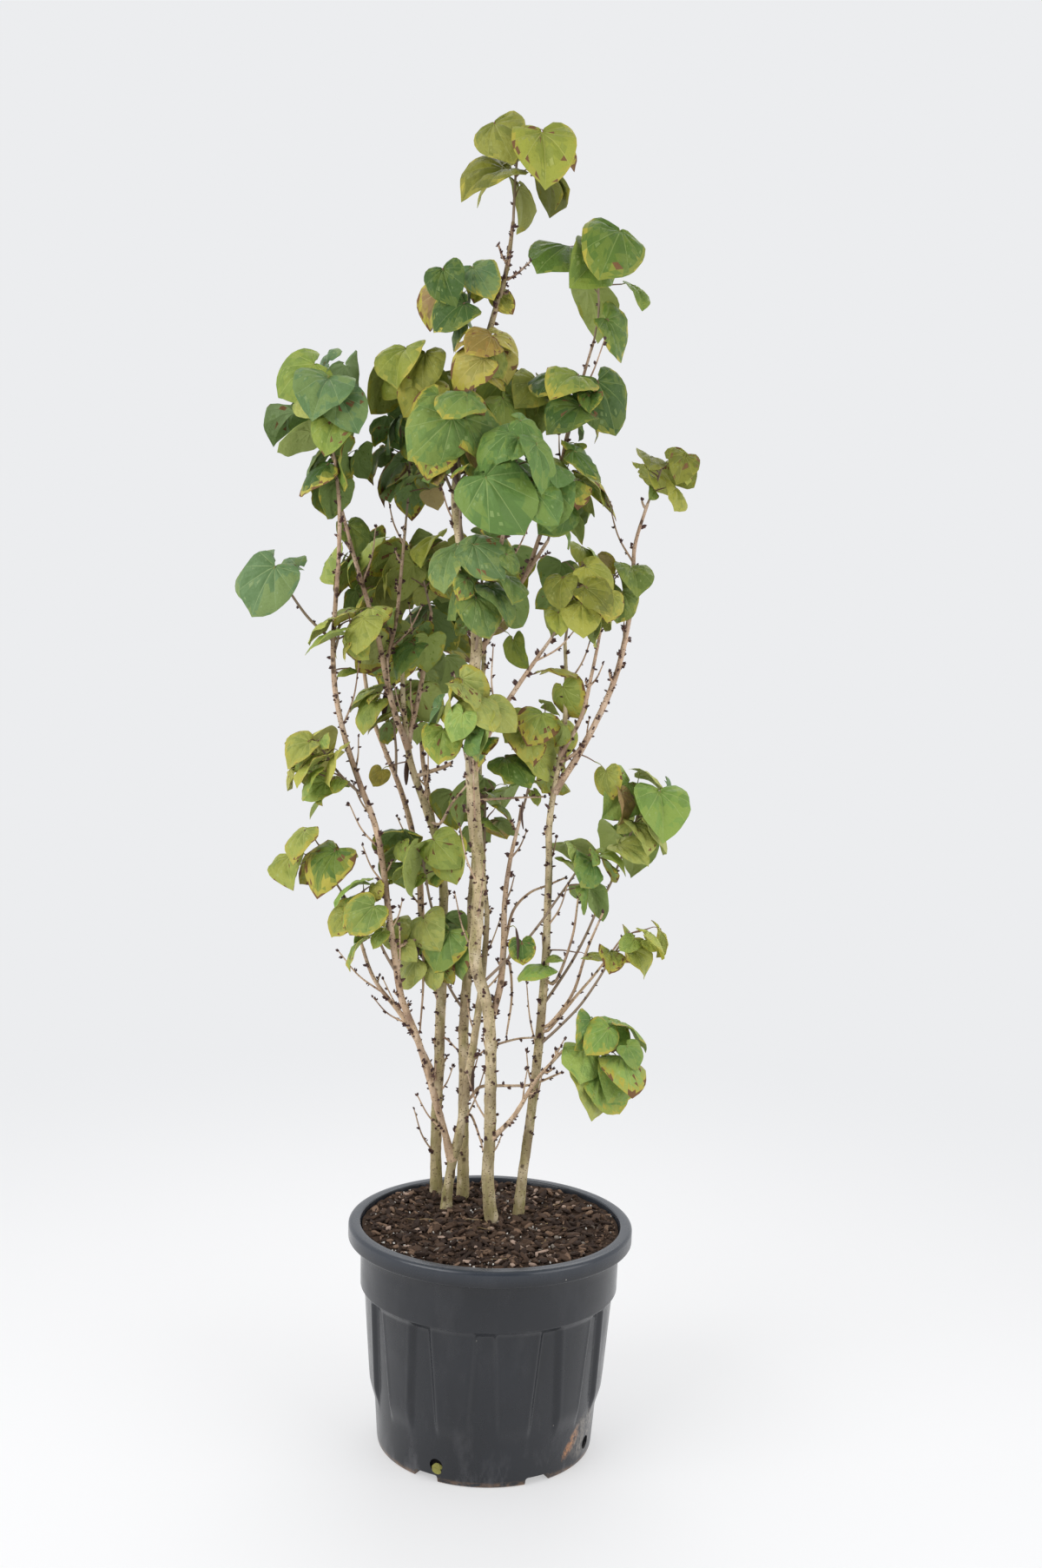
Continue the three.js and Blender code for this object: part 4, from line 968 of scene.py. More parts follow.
# The leaf's outline from its tip round to the stalk, along the midrib and across it.
HEART = [(1, 0), (0.965, 0.045), (0.91, 0.13), (0.815, 0.27), (0.65, 0.41), (0.44, 0.5), (0.2, 0.53),
         (-0.02, 0.485), (-0.165, 0.35), (-0.18, 0.19), (-0.09, 0.06)]
VEINS = (0, 31, 64, 103)  # degrees from the midrib, on each side
SPOKES = (6, 13, 22, 41, 52, 77, 90, 117, 132, 147)  # between the veins
RINGS = np.array([0.16, 0.36, 0.57, 0.75, 0.88, 0.96, 1.0])
VEIN_WIDTH = (0.003, 0.011)  # half of it, at the edge and at the stalk
VEIN_ANGLE = 4.6  # the most that a vein's edge turns from its middle, in degrees
BLADE_THICKNESS = 0.008
BLADE_CUP = (0.4, 0.66, 0.36)  # how the blade falls away towards the tip, the stalk and the sides
BLADE_RELIEF = ((3.7, 7, 0.05), (9.0, 8, 0.016))  # noise: scale, seed and height
BLADE_UNEVEN = (2.1, 0.07)  # of the outline: scale and share of the radius
VEIN_RELIEF = (0.042, 8, 0.006)  # the quilting's height, its reach in degrees, and the depth of a vein
# What differs from leaf to leaf: width, fold along the midrib, height and number of the edge's waves,
# curl of the tip, and skew.
LEAF_WIDTH = (0.92, 1.08)
LEAF_FOLD = (-0.08, 0.47)
FOLD_FLAT = 1.6  # how much the flat ones prevail
FOLD_MIDDLE = 0.12  # where the folded blade keeps its height, across it
LEAF_WAVE = (0.012, 0.042)
LEAF_WAVES = 5
LEAF_CURL = (-0.105, 0.195)
LEAF_SKEW = (-0.06, 0.06)
UPPER, VEIN, UNDER, RIM = range(4)


def twig_and_stalk(blade, draw):
    """The twig's path from its root, and the stalk's from the twig's end to the blade's base."""
    start, base = blade.root, blade.base
    span = base - start
    reach = np.linalg.norm(span)
    petiole = min(PETIOLE_SHARE * blade.length, PETIOLE_LIMIT * reach)
    end = start + span * (1 - petiole / reach) + UP * petiole * SIDE_LIFT
    bow = np.array([draw() - 0.5, draw() - 0.5, SIDE_BOW[0]]) * reach * SIDE_BOW[1]
    twig, _ = curve_through([start, lerp(start, end, 0.5) + bow * 0.5, end], SIDE_DETAIL[0])
    arch = lerp(end, base, 0.5) + PETIOLE_ARCH * UP * petiole
    grip = base + blade.along * blade.length * PETIOLE_GRIP
    stalk, _ = curve_through([end, arch, base, grip], PETIOLE_DETAIL[0])
    return twig, stalk


def heart_radius(angles):
    """The distance from the stalk to the heart's edge, at angles from the midrib in degrees."""
    points, _ = curve_through([(u, v, 0) for u, v in HEART], 0.02)
    theirs = np.degrees(np.arctan2(points[:, 1], points[:, 0]))
    order = np.argsort(theirs)
    return np.interp(np.abs(angles), theirs[order], np.hypot(points[:, 0], points[:, 1])[order])


def heart_grid():
    """The angle of each point of the blade's grid, spoke by spoke, and the gaps that are veins."""
    spokes = [(angle, 0) for angle in SPOKES] + [(angle, side) for angle in VEINS for side in (-1, 1)]
    spokes.remove((0, -1))
    spokes += [(-angle, -side) for angle, side in spokes]
    spokes.sort(key=lambda spoke: spoke[0] + 0.01 * spoke[1])
    angles = []
    for angle, side in spokes:
        width = np.degrees(np.arctan(lerp(*VEIN_WIDTH, 1 - RINGS) / (RINGS * heart_radius(angle))))
        angles.append(angle + side * np.minimum(width, VEIN_ANGLE))
    vein = [spokes[i][1] == -1 and spokes[i + 1][1] == 1 for i in range(len(spokes) - 1)]
    return np.array(angles), np.array(vein)


ANGLES, IS_VEIN = heart_grid()
GRID_RADIUS = heart_radius(ANGLES) * RINGS
# Values at the grid's points, and at the stalk last: along, across, angle, share of the radius, and
# degrees from the nearest vein.
GRID_U, GRID_V, GRID_TURN, GRID_SHARE, VEIN_NEAR = (np.append(grid, 0) for grid in (
    GRID_RADIUS * np.cos(np.radians(ANGLES)), GRID_RADIUS * np.sin(np.radians(ANGLES)), np.radians(ANGLES),
    np.broadcast_to(RINGS, ANGLES.shape),
    np.min(np.abs(np.abs(ANGLES)[..., None] - np.array(VEINS)), axis=-1)))


def leaf_faces():
    """The triangles of both sides and the rim, and the part of the leaf that each is."""
    spokes, rings = ANGLES.shape
    stalk, count = spokes * rings, spokes * rings + 1
    rows = np.column_stack([np.full(spokes, stalk), np.arange(stalk).reshape(spokes, rings)])
    upper = np.stack([rows[:-1, :-1], rows[:-1, 1:], rows[1:, 1:], rows[1:, :-1]], -1).reshape(-1, 4)
    edge = np.concatenate([rows[0], rows[1:, -1], rows[-1, -2:0:-1]])
    after = np.roll(edge, -1)
    rim = np.stack([edge, edge + count, after + count, after], -1)
    quads = np.concatenate([upper, upper[:, ::-1] + count, rim])
    parts = np.concatenate([np.repeat(np.where(IS_VEIN, VEIN, UPPER), rings),
                            np.full(len(upper), UNDER), np.full(len(rim), RIM)])
    triangles = quads[:, [0, 1, 2, 0, 2, 3]].reshape(-1, 3)
    whole = [len(set(triangle)) == 3 for triangle in triangles.tolist()]
    return triangles[whole], np.repeat(parts, 2)[whole]


LEAF_TRIANGLES, LEAF_PARTS = leaf_faces()
FACE_SPOTS = [np.append(grid, grid)[LEAF_TRIANGLES].mean(1) for grid in (GRID_U, GRID_V, GRID_SHARE)]
# Clouds between the veins: darker and lighter where the noise passes the limits. Each layer of noise has
# a scale, an offset of the seed and a weight.
CLOUD_NOISE = ((2.6, 0, 1), (8.0, 2, 0.7))
CLOUD_LIMITS = (-0.14, 0.12)
CLOUD_EDGE = 0.35  # how much lighter the clouds get towards the edge
EDGE_NOISE = ((5.3, 9, 0.22), (17.0, 5, 0.12))
HALF_TURNED = 0.11  # the share of the radius over which a leaf passes from green to its turned edge
DEAD_EDGE = 0.13  # how far outside its turned edge a leaf is dead
SPOT_NOISE = ((6.5, 3, 1), (19.0, 4, 0.35))
SPOT_LIMIT = 0.5


def noise_over(u, v, seed, *layers):
    """Noise at points on a leaf, as the sum of its layers."""
    return sum(weight * np.array([noise.noise(Vector((a * scale, b * scale, seed + offset)))
                                  for a, b in zip(u, v)]) for scale, offset, weight in layers)


def tint_faces(slots, turning, spotted, seed):
    """The slot of each face of a leaf: clouded, turning from its edge, and perhaps spotted."""
    u, v, share = FACE_SPOTS
    result = np.array([slots[part] for part in ("upper", "vein", "under", "upper")])[LEAF_PARTS]

    def paint(where, part):
        result[where] = slots[part]
    upper, flesh = LEAF_PARTS == UPPER, LEAF_PARTS != VEIN
    cloud = noise_over(u, v, seed, *CLOUD_NOISE) + CLOUD_EDGE * (share - 0.5)
    paint(upper & (cloud > CLOUD_LIMITS[1]), "cloud")
    paint(upper & (cloud < CLOUD_LIMITS[0]), "dark")
    rough = share + noise_over(u, v, seed, *EDGE_NOISE)
    paint(flesh & (rough > turning - HALF_TURNED), "half")
    paint(flesh & (rough > turning), "turned")
    paint(rough > turning + DEAD_EDGE, "dead")
    if spotted:
        paint(flesh & (noise_over(u, v, seed, *SPOT_NOISE) > SPOT_LIMIT), "dead")
    return result


def add_leaf(heap, blade, draw, slots, turning, spotted):
    """A leaf: a cupped heart that droops at its tip, with sunken veins and an uneven, wavy edge."""
    width = lerp(*LEAF_WIDTH, draw())
    fold = lerp(*LEAF_FOLD, draw() ** FOLD_FLAT)
    wave, phase = lerp(*LEAF_WAVE, draw()), TURN * draw()
    curl, skew = lerp(*LEAF_CURL, draw()), lerp(*LEAF_SKEW, draw())
    seed = 100 * draw()
    u, v = GRID_U, GRID_V
    front, back = np.maximum(u - LEAF.middle, 0), np.minimum(u - LEAF.middle, 0)
    to_tip, to_stalk, to_side = BLADE_CUP
    w = LEAF.camber - to_tip * front ** 2 - to_stalk * back ** 2 - to_side * v ** 2
    w += fold * (np.abs(v) - FOLD_MIDDLE) - curl * front ** 2 + skew * u * v
    w += wave * GRID_SHARE ** 3 * np.sin(LEAF_WAVES * GRID_TURN + phase)
    height, reach, depth = VEIN_RELIEF
    w += height * (1 - np.exp(-(VEIN_NEAR / reach) ** 2)) * np.sin(np.pi * GRID_SHARE) - depth
    w += noise_over(u, v, seed, *BLADE_RELIEF)
    scale, share = BLADE_UNEVEN
    uneven = 1 + GRID_SHARE * noise_over(np.cos(GRID_TURN), np.sin(GRID_TURN), seed, (scale, 0, share))
    u, v = u * uneven, v * width * uneven + skew * front ** 2
    offset = u[:, None] * blade.along + v[:, None] * blade.across + w[:, None] * blade.normal
    points = blade.base + offset * blade.length
    under = points - blade.normal * BLADE_THICKNESS * blade.length
    heap.add(np.concatenate([points, under]), [LEAF_TRIANGLES], tint_faces(slots, turning, spotted, seed))


POD_SECTIONS = 9
POD_SIDES = 8
POD_SEEDS = 5
POD_HALF = (0.098, 0.004)  # half of its height, as shares of the length: what swells, and the rest
POD_THICK = (0.014, 0.012)  # half of its thickness, and the seeds' bumps
POD_BEND = 0.05
POD_TIP = 0.04
POD_BLUNT = (0.03, 0.45)  # how its ends are cut short, and the power that rounds them


def add_pod(heap, blade, draw):
    """A flat dry pod with the bumps of its seeds."""
    t = np.linspace(0, 1, POD_SECTIONS)
    cut, power = POD_BLUNT
    half = POD_HALF[0] * np.sin(np.pi * lerp(cut, 1 - cut, t)) ** power + POD_HALF[1]
    thick = POD_THICK[0] + POD_THICK[1] * np.abs(np.sin(t * math.pi * POD_SEEDS)) * np.sin(np.pi * t)
    bend = POD_BEND * np.sin(np.pi * t) * (1 if draw() > 0.5 else -1)
    spine = blade.base + (t[:, None] * blade.along + bend[:, None] * blade.normal) * blade.length
    turns = turns_of(POD_SIDES)[None, :, None]
    rings = spine[:, None] + (np.cos(turns) * blade.across * half[:, None, None]
                              + np.sin(turns) * blade.normal * thick[:, None, None]) * blade.length
    tip = spine[-1] + blade.along * POD_TIP * blade.length
    quads, fans = round_faces(POD_SECTIONS, POD_SIDES)
    heap.add(np.concatenate([rings.reshape(-1, 3), [spine[0], tip]]), (halved(quads), fans))


# ---------------------------------------------------------------- pot
POT_COLUMNS = 576
POT_FLOOR = 17  # above the CAD's floor, so that no gap shows through a drain hole
PANEL_EDGE = 2.8  # degrees over which a panel's side rises
PANEL_WIDER = 1.6  # degrees that a panel has on each side over the CAD's
PANEL_TOP = 229
PANEL_RIB = (0.5, 0.6, 0.9)  # a seam on a panel's edge: height, and degrees inward and wide
RIB_FADE = (70, 130)
WALL_ROWS = 34
FOOT_ROUND = 4
COLLAR_ROUND = 2.5
COLLAR_EDGE = 2.6  # how far below the collar's foot its chamfer ends
RIM_ROUND = (3.5, 5.5, 3.2)  # the rim's lower, upper and inner edges
NOTCH_CORNER = 4
NOTCH_DEPTH = (18, 20)  # how far the cut runs in and out from the foot's edge
DRAIN_DEPTH = (12, 20)
DRAIN_SIDES = 24


def wall_radius(height):
    return POT_BASE_RADIUS + POT_FLARE * height


def eased(value, low, high):
    share = np.clip((value - low) / (high - low), 0, 1)
    return share * share * (3 - 2 * share)


def panel_rise(angle, height):
    """How far the panels and their seams stand out of the wall."""
    pitch = 360 / PANEL_COUNT
    off = np.abs(np.degrees(angle) % pitch - pitch / 2)
    half = lerp(*PANEL_HALF_ANGLE, height / COLLAR_BOTTOM) + PANEL_WIDER
    rise, inward, wide = PANEL_RIB
    rib = rise * np.exp(-((off - half + inward) / wide) ** 2)
    side = 1 - eased(off, half, half + PANEL_EDGE)
    return PANEL_RISE * eased(height, *PANEL_FADE) * side + rib * eased(height, *RIB_FADE)


def round_edge(radius, height, edge, start, end, count):
    """An arc of the profile round a middle, with angles in degrees from straight out."""
    return [(radius + edge * math.cos(a), height + edge * math.sin(a))
            for a in np.radians(np.linspace(start, end, count))]


def pot_profile():
    """The radius and height of each ring, from the middle of the foot over the rim to that of the floor."""
    lip, top = POT_HEIGHT - RIM_DEPTH, COLLAR_BOTTOM - COLLAR_EDGE
    shoulder = COLLAR_BOTTOM - COLLAR_CHAMFER
    low, high, inside = RIM_ROUND
    inner_foot = wall_radius(POT_FLOOR) - POT_WALL
    return [
        (0, 0), (80, 0), (140, 0),
        *round_edge(POT_BASE_RADIUS - FOOT_ROUND, FOOT_ROUND, FOOT_ROUND, -90, -10, 5),
        *((wall_radius(z), z) for z in np.linspace(2 * FOOT_ROUND, PANEL_TOP, WALL_ROWS)),
        (wall_radius(shoulder) + 1.2, shoulder + 1.4), (COLLAR_RADIUS - COLLAR_EDGE, top),
        *round_edge(COLLAR_RADIUS - COLLAR_ROUND, COLLAR_BOTTOM + 1, COLLAR_ROUND, -40, 0, 4),
        (COLLAR_RADIUS + 0.4, 262), (COLLAR_RADIUS + 0.8, 290), (COLLAR_RADIUS + 1.2, lip - 3),
        (COLLAR_RADIUS + 2.4, lip - 0.6), (RIM_RADIUS - 8, lip),
        *round_edge(RIM_RADIUS - low, lip + low, low, -90, 0, 5), (RIM_RADIUS, lip + 12),
        *round_edge(RIM_RADIUS - high, POT_HEIGHT - 6.3, high, 0, 78, 8),
        (RIM_RADIUS - 9, POT_HEIGHT - 0.2),
        *round_edge(RIM_INNER_RADIUS + inside, POT_HEIGHT - 3.6, inside, 92, 178, 6),
        (COLLAR_RADIUS - POT_WALL, lip), (COLLAR_RADIUS - POT_WALL, COLLAR_BOTTOM + 4),
        (wall_radius(shoulder) - POT_WALL, shoulder), (inner_foot, POT_FLOOR + 3),
        (inner_foot - 3, POT_FLOOR), (0, POT_FLOOR)]


def add_turned(heap, radius, height, foot, top):
    """Rows of points round Z, closed at two heights on the axis."""
    rows, columns = radius.shape
    turns = turns_of(columns)
    points = np.stack([radius * np.cos(turns), radius * np.sin(turns), height + 0 * radius], -1)
    points = np.concatenate([points.reshape(-1, 3), [foot * UP, top * UP]])
    heap.add(points, round_faces(rows, columns))


def grow_pot(heap):
    profile = pot_profile()
    radius, height = np.array(profile[1:-1]).T[..., None]
    outside = (np.arange(len(height)) < np.argmax(height))[:, None]
    outside = outside & (height > FOOT_ROUND) & (height <= COLLAR_BOTTOM)
    top = COLLAR_BOTTOM - COLLAR_EDGE
    fade = np.clip((top - height) / (top - PANEL_TOP), 0, 1)
    rise = np.where(outside, panel_rise(turns_of(POT_COLUMNS), height) * fade, 0)
    add_turned(heap, radius + rise, height, profile[0][1], profile[-1][1])


def out_and_across(angle):
    """The level ways out from Z at an angle, and square to that."""
    out = np.array([math.cos(angle), math.sin(angle), 0])
    return out, np.cross(UP, out)


def add_cutter(heap, angle, shape, depth):
    """A closed form across the foot: a shape in the wall's face, drawn from inside it to outside."""
    out, across = out_and_across(angle)
    outline = np.array([across * x + UP * z for x, z in shape])
    ring = np.arange(len(shape))
    ends = np.array([ring[::-1], ring + len(shape)])
    heap.add(np.concatenate([outline + out * (POT_BASE_RADIUS + reach) for reach in (-depth[0], depth[1])]),
             (grid_faces(2, len(shape)), ends))


def notches_and_drains():
    heap = Heap()
    half, flat, height = NOTCH_WIDTH / 2, NOTCH_WIDTH / 2 - NOTCH_CORNER, NOTCH_HEIGHT - NOTCH_CORNER
    arc = [(flat + NOTCH_CORNER * math.cos(a), height + NOTCH_CORNER * math.sin(a)) for a in (0.5, 1.05)]
    side = [(half, height), *arc, (flat, NOTCH_HEIGHT)]
    shape = [(-half, -NOTCH_CORNER), (half, -NOTCH_CORNER), *side, *((-x, z) for x, z in side[::-1])]
    for k in range(NOTCH_COUNT):
        add_cutter(heap, (k + 0.5) * TURN / NOTCH_COUNT - math.pi / 2, shape, NOTCH_DEPTH)
    hole = [(DRAIN_RADIUS * math.cos(a), DRAIN_HEIGHT + DRAIN_RADIUS * math.sin(a))
            for a in turns_of(DRAIN_SIDES)]
    for k in range(DRAIN_COUNT):
        add_cutter(heap, math.radians(DRAIN_FIRST_ANGLE + 360 * k / DRAIN_COUNT), hole, DRAIN_DEPTH)
    return heap


def cut_away(piece, heap):
    """Takes the closed forms of a heap out of a piece."""
    tool = placed("cutter", heap.mesh("cutter"))
    modifier = piece.modifiers.new("cut", "BOOLEAN")
    modifier.operation, modifier.solver, modifier.object = "DIFFERENCE", "EXACT", tool
    graph = bpy.context.evaluated_depsgraph_get()
    cut = bpy.data.meshes.new_from_object(piece.evaluated_get(graph))
    piece.modifiers.remove(modifier)
    materials = list(piece.data.materials)
    piece.data = cut
    cut.materials.clear()
    for material in materials:
        cut.materials.append(material)
    cut.set_sharp_from_angle(angle=SHARP)
    bpy.data.objects.remove(tool)


# ---------------------------------------------------------------- soil
BED_RINGS = 46
BED_COLUMNS = 150
BED_RISE = 7.5  # of the loose mulch over the CAD's flat soil
BED_EDGE = 191.6  # where the mulch meets the flare inside the rim
BED_RELIEF = 3.2
BED_NOISE = ((0.012, 4.1, 1.1), (0.09, 9.2, 1))  # scale, seed and weight
BED_BRIM = (110, 188, 1.5)  # the radii between which the bed rises towards the pot, and its rise
STEM_MOUND = (1, 700)  # height of the mound round a stem, and the square of its reach
SOIL_GAP = POT_WALL + CLEARANCE + 0.5
CHIP_COUNT = 3900
CHIP_SHAPES = 24
CHIP_CORNERS = 6
CHIP_LENGTH = 3.2  # of the shortest chip
CHIP_SMALL = 2.9  # how much the small chips prevail
CHIP_STRAY = 0.55  # of a corner, as a share of the way to the next
CHIP_FOOT = 0.8
CHIP_OUTLINE = (0.75, 1.1)  # of a corner, as a share of the size
CHIP_INSET = (0.62, 0.87)  # of the upper face's corners, as shares of those around it
CHIP_TOP = (0.65, 1.35)
CHIP_WIDTH = (0.25, 0.75)  # as shares of the length
CHIP_THICK = (0.12, 0.32)
CHIP_THICKEST = 4
CHIP_LIFT = (3.5, 0.1, 2.2)  # most for its own size, share of the length as it tilts, and at random
CHIP_REACH = 190
CHIP_STEM_GAP = 11
CHIP_TILT = (1.1, 1.3)
# Share of the chips, slot and the longest one of each kind. The last kind is round crumbs.
CHIP_KINDS = ((0.4, 0, 25), (0.35, 1, 26), (0.12, 2, 22), (0.05, 3, 22), (0.04, 4, 14), (0.04, 5, 3.5))
CRUMB_SLOT, STRAW_SLOT, SCRAP_SLOT = 5, 6, 7
CRUMB_SIZE = (0.85, 0.7)  # width and thickness, as shares of the length
STRAWS = 9
STRAW_REACH = 165
STRAW_HALF = (9, 26)  # half of its length
STRAW_BOW = 9
STRAW_LIFT = (4.2, 5.0)
STRAW_RADII = (0.75, 0.35)
STRAW_DETAIL = (3, 5)


def stem_feet():
    return [wood.path[0] for wood in limbs.values() if wood.on_soil]


def bed_height(x, y):
    rise = SOIL_TOP + BED_RISE + BED_BRIM[2] * eased(math.hypot(x, y), *BED_BRIM[:2])
    for scale, seed, weight in BED_NOISE:
        rise += BED_RELIEF * weight * noise.noise(Vector((x * scale, y * scale, seed)))
    for foot in stem_feet():
        rise += STEM_MOUND[0] * math.exp(-((x - foot[0]) ** 2 + (y - foot[1]) ** 2) / STEM_MOUND[1])
    return rise


def grow_bed(heap):
    shoulder, edge = COLLAR_BOTTOM - COLLAR_CHAMFER, COLLAR_RADIUS - SOIL_GAP
    floor = POT_FLOOR + CLEARANCE
    sides = [(wall_radius(DRAIN_HEIGHT) - SOIL_GAP, floor), (wall_radius(shoulder) - SOIL_GAP, shoulder),
             (edge, COLLAR_BOTTOM + 5), (edge, POT_HEIGHT - RIM_DEPTH)]
    tops = BED_EDGE * np.linspace(1, 0, BED_RINGS + 1)[:-1]
    heights = [[height] * BED_COLUMNS for _, height in sides]
    heights += [[bed_height(radius * math.cos(turn), radius * math.sin(turn))
                 for turn in turns_of(BED_COLUMNS)] for radius in tops]
    radii = np.append([radius for radius, _ in sides], tops)[:, None]
    add_turned(heap, np.tile(radii, BED_COLUMNS), np.array(heights), floor, bed_height(0, 0))


def chip_form(draw):
    """A flat broken piece of bark with uneven corners."""
    turns = [TURN * (k + CHIP_STRAY * (draw() - 0.5)) / CHIP_CORNERS for k in range(CHIP_CORNERS)]
    rim = np.array([[axis(turn) * lerp(*CHIP_OUTLINE, draw()) for axis in (math.cos, math.sin)]
                    for turn in turns])
    inset = lerp(*CHIP_INSET, draw())
    top = np.column_stack([rim * inset, [lerp(*CHIP_TOP, draw()) for _ in turns]])
    middle, foot = np.insert(rim, 2, 0, axis=1), np.insert(rim * CHIP_FOOT, 2, -1, axis=1)
    ring, high = np.arange(1, CHIP_CORNERS - 1), 2 * CHIP_CORNERS
    fans = [np.stack([0 * ring + high, ring + high, ring + high + 1], -1),
            np.stack([0 * ring, ring + 1, ring], -1)]
    faces = np.concatenate([halved(grid_faces(3, CHIP_CORNERS)), *fans])
    return np.concatenate([foot, middle, top]), [faces]


def chip_kind(pick):
    kind = 0
    while kind < len(CHIP_KINDS) - 1 and pick > CHIP_KINDS[kind][0]:
        pick -= CHIP_KINDS[kind][0]
        kind += 1
    return CHIP_KINDS[kind][1:]


def strew_chips(heap):
    draw = seeded(SEEDS["chips"])
    forms = [chip_form(draw) for _ in range(CHIP_SHAPES)]
    for _ in range(CHIP_COUNT):
        turn, radius = TURN * draw(), CHIP_REACH * math.sqrt(draw())
        x, y = radius * math.cos(turn), radius * math.sin(turn)
        slot, longest = chip_kind(draw())
        length = lerp(CHIP_LENGTH, longest, draw() ** CHIP_SMALL)
        wide = length * lerp(*CHIP_WIDTH, draw())
        thick = min(length * lerp(*CHIP_THICK, draw()), CHIP_THICKEST)
        if slot == CRUMB_SLOT:
            wide, thick = (length * share for share in CRUMB_SIZE)
        form, faces = forms[int(draw() * len(forms))]
        yaw, pitch, roll = TURN * draw(), (draw() - 0.5) * CHIP_TILT[0], (draw() - 0.5) * CHIP_TILT[1]
        on_stem = any(math.hypot(x - foot[0], y - foot[1]) < CHIP_STEM_GAP for foot in stem_feet())
        if on_stem or radius + length / 2 > CHIP_REACH:
            continue
        axis = np.array([math.cos(yaw) * math.cos(pitch), math.sin(yaw) * math.cos(pitch), math.sin(pitch)])
        up = turned(np.cross(axis, unit(np.cross(UP, axis))), axis, roll)
        size = form * (length, wide, thick) / 2
        most, tilting, stray = CHIP_LIFT
        lift = min(most, thick / 2 + tilting * length * abs(pitch)) + stray * draw()
        centre = np.array([x, y, bed_height(x, y) + lift])
        heap.add(centre + size @ np.array([axis, np.cross(up, axis), up]), faces, slot)


def strew_straws(heap):
    draw = seeded(SEEDS["straws"])
    for _ in range(STRAWS):
        turn, radius, yaw = TURN * draw(), STRAW_REACH * math.sqrt(draw()), TURN * draw()
        middle = radius * out_and_across(turn)[0]
        half, bow = lerp(*STRAW_HALF, draw()), (draw() - 0.5) * STRAW_BOW
        along, side = out_and_across(yaw)
        spots = [middle + along * half * t + side * bow * (1 - t * t) for t in (-1, -0.5, 0, 0.5, 1)]
        path = [(x, y, bed_height(x, y) + lerp(*STRAW_LIFT, draw())) for x, y, _ in spots]
        fine, _ = curve_through(path, STRAW_DETAIL[0])
        add_tube(heap, fine, np.linspace(*STRAW_RADII, len(fine)), STRAW_DETAIL[1], STRAW_SLOT)


# ---------------------------------------------------------------- materials
def linear(code):
    """A colour given as hexadecimal display values, as scene-linear numbers."""
    values = [((code >> shift) & 255) / 255 for shift in (16, 8, 0)]
    return tuple(v / 12.92 if v <= 0.04045 else ((v + 0.055) / 1.055) ** 2.4 for v in values) + (1.0,)


def tone(a, b, share):
    """A display colour part of the way from one to another."""
    return sum(round(lerp((a >> shift) & 255, (b >> shift) & 255, share)) << shift for shift in (16, 8, 0))


class Wiring:
    """Short ways to make the nodes of a tree and wire them."""

    def __init__(self, tree):
        self.tree = tree

    def feed(self, node, values):
        """Inputs by name or number, each with a value or another node's output."""
        for key, value in values.items():
            socket = node.inputs[key.replace("_", " ") if isinstance(key, str) else key]
            if hasattr(value, "is_output"):
                self.tree.links.new(value, socket)
            else:
                socket.default_value = value

    def node(self, kind, *first, **settings):
        """A node with its first inputs in order. Of the settings, those with capitals are inputs too."""
        node = self.tree.nodes.new("ShaderNode" + kind)
        inputs = dict(enumerate(first))
        for key, value in settings.items():
            if key[0].isupper():
                inputs[key] = value
            else:
                setattr(node, key, value)
        self.feed(node, inputs)
        return node

    def ramp(self, value, *stops):
        """A ramp through stops, each with a grey from 0.0 to 1.0 or a colour's code."""
        ramp = self.node("ValToRGB", value)
        elements = ramp.color_ramp.elements
        while len(elements) < len(stops):
            elements.new(0.5)
        for element, (at, colour) in zip(elements, stops):
            element.position = at
            element.color = linear(colour) if isinstance(colour, int) else (colour,) * 3 + (1,)
        return ramp.outputs["Color"]

    def mix(self, share, a, b, blend="MIX"):
        a, b = (linear(colour) if isinstance(colour, int) else colour for colour in (a, b))
        mix = self.node("Mix", share, data_type="RGBA", blend_type=blend)
        self.feed(mix, {6: a, 7: b})
        return mix.outputs[2]

    def layer(self, base, colour, share, *limits):
        """A colour over the base, where all the shares allow it."""
        for limit in limits:
            share = self.mix(1.0, share, limit, "MULTIPLY")
        return self.mix(share, base, colour)


class Finish(Wiring):
    """A Principled material in the row's frame."""

    def __init__(self, name, colour, rough, **values):
        self.material = bpy.data.materials.new(name)
        self.material.use_nodes = True
        super().__init__(self.material.node_tree)
        self.shader = self.tree.nodes["Principled BSDF"]
        self.feed(self.shader, {"Base Color": linear(colour), "Roughness": rough, **values})
        self.material.diffuse_color = linear(colour)

    def place(self, scale=(1, 1, 1)):
        """The point in metres, stretched."""
        return self.node("Mapping", self.node("TexCoord").outputs["Object"], Scale=scale).outputs[0]

    def noise(self, scale, stretch=(1, 1, 1), detail=3.0, rough=0.55):
        texture = self.node("TexNoise", self.place(stretch), Scale=scale, Detail=detail, Roughness=rough)
        return texture.outputs["Fac"]

    def cells(self, scale, stretch=(1, 1, 1)):
        return self.node("TexVoronoi", self.place(stretch), Scale=scale, Randomness=1.0).outputs["Distance"]

    def height_share(self, low, high):
        """0 at one height and 1 at another."""
        height = self.node("SeparateXYZ", self.place()).outputs["Z"]
        return self.node("MapRange", height, From_Min=low, From_Max=high).outputs[0]

    def bump(self, height, strength, distance, **under):
        return self.node("Bump", Height=height, Strength=strength, Distance=distance, **under).outputs[0]

    def wear(self, **values):
        self.feed(self.shader, values)
        return self.material


BARK_SPOT = 0x5d4a38
BARK_SCAR = 0x4d3a2c
BARK_PALE = 0xf0e6cf


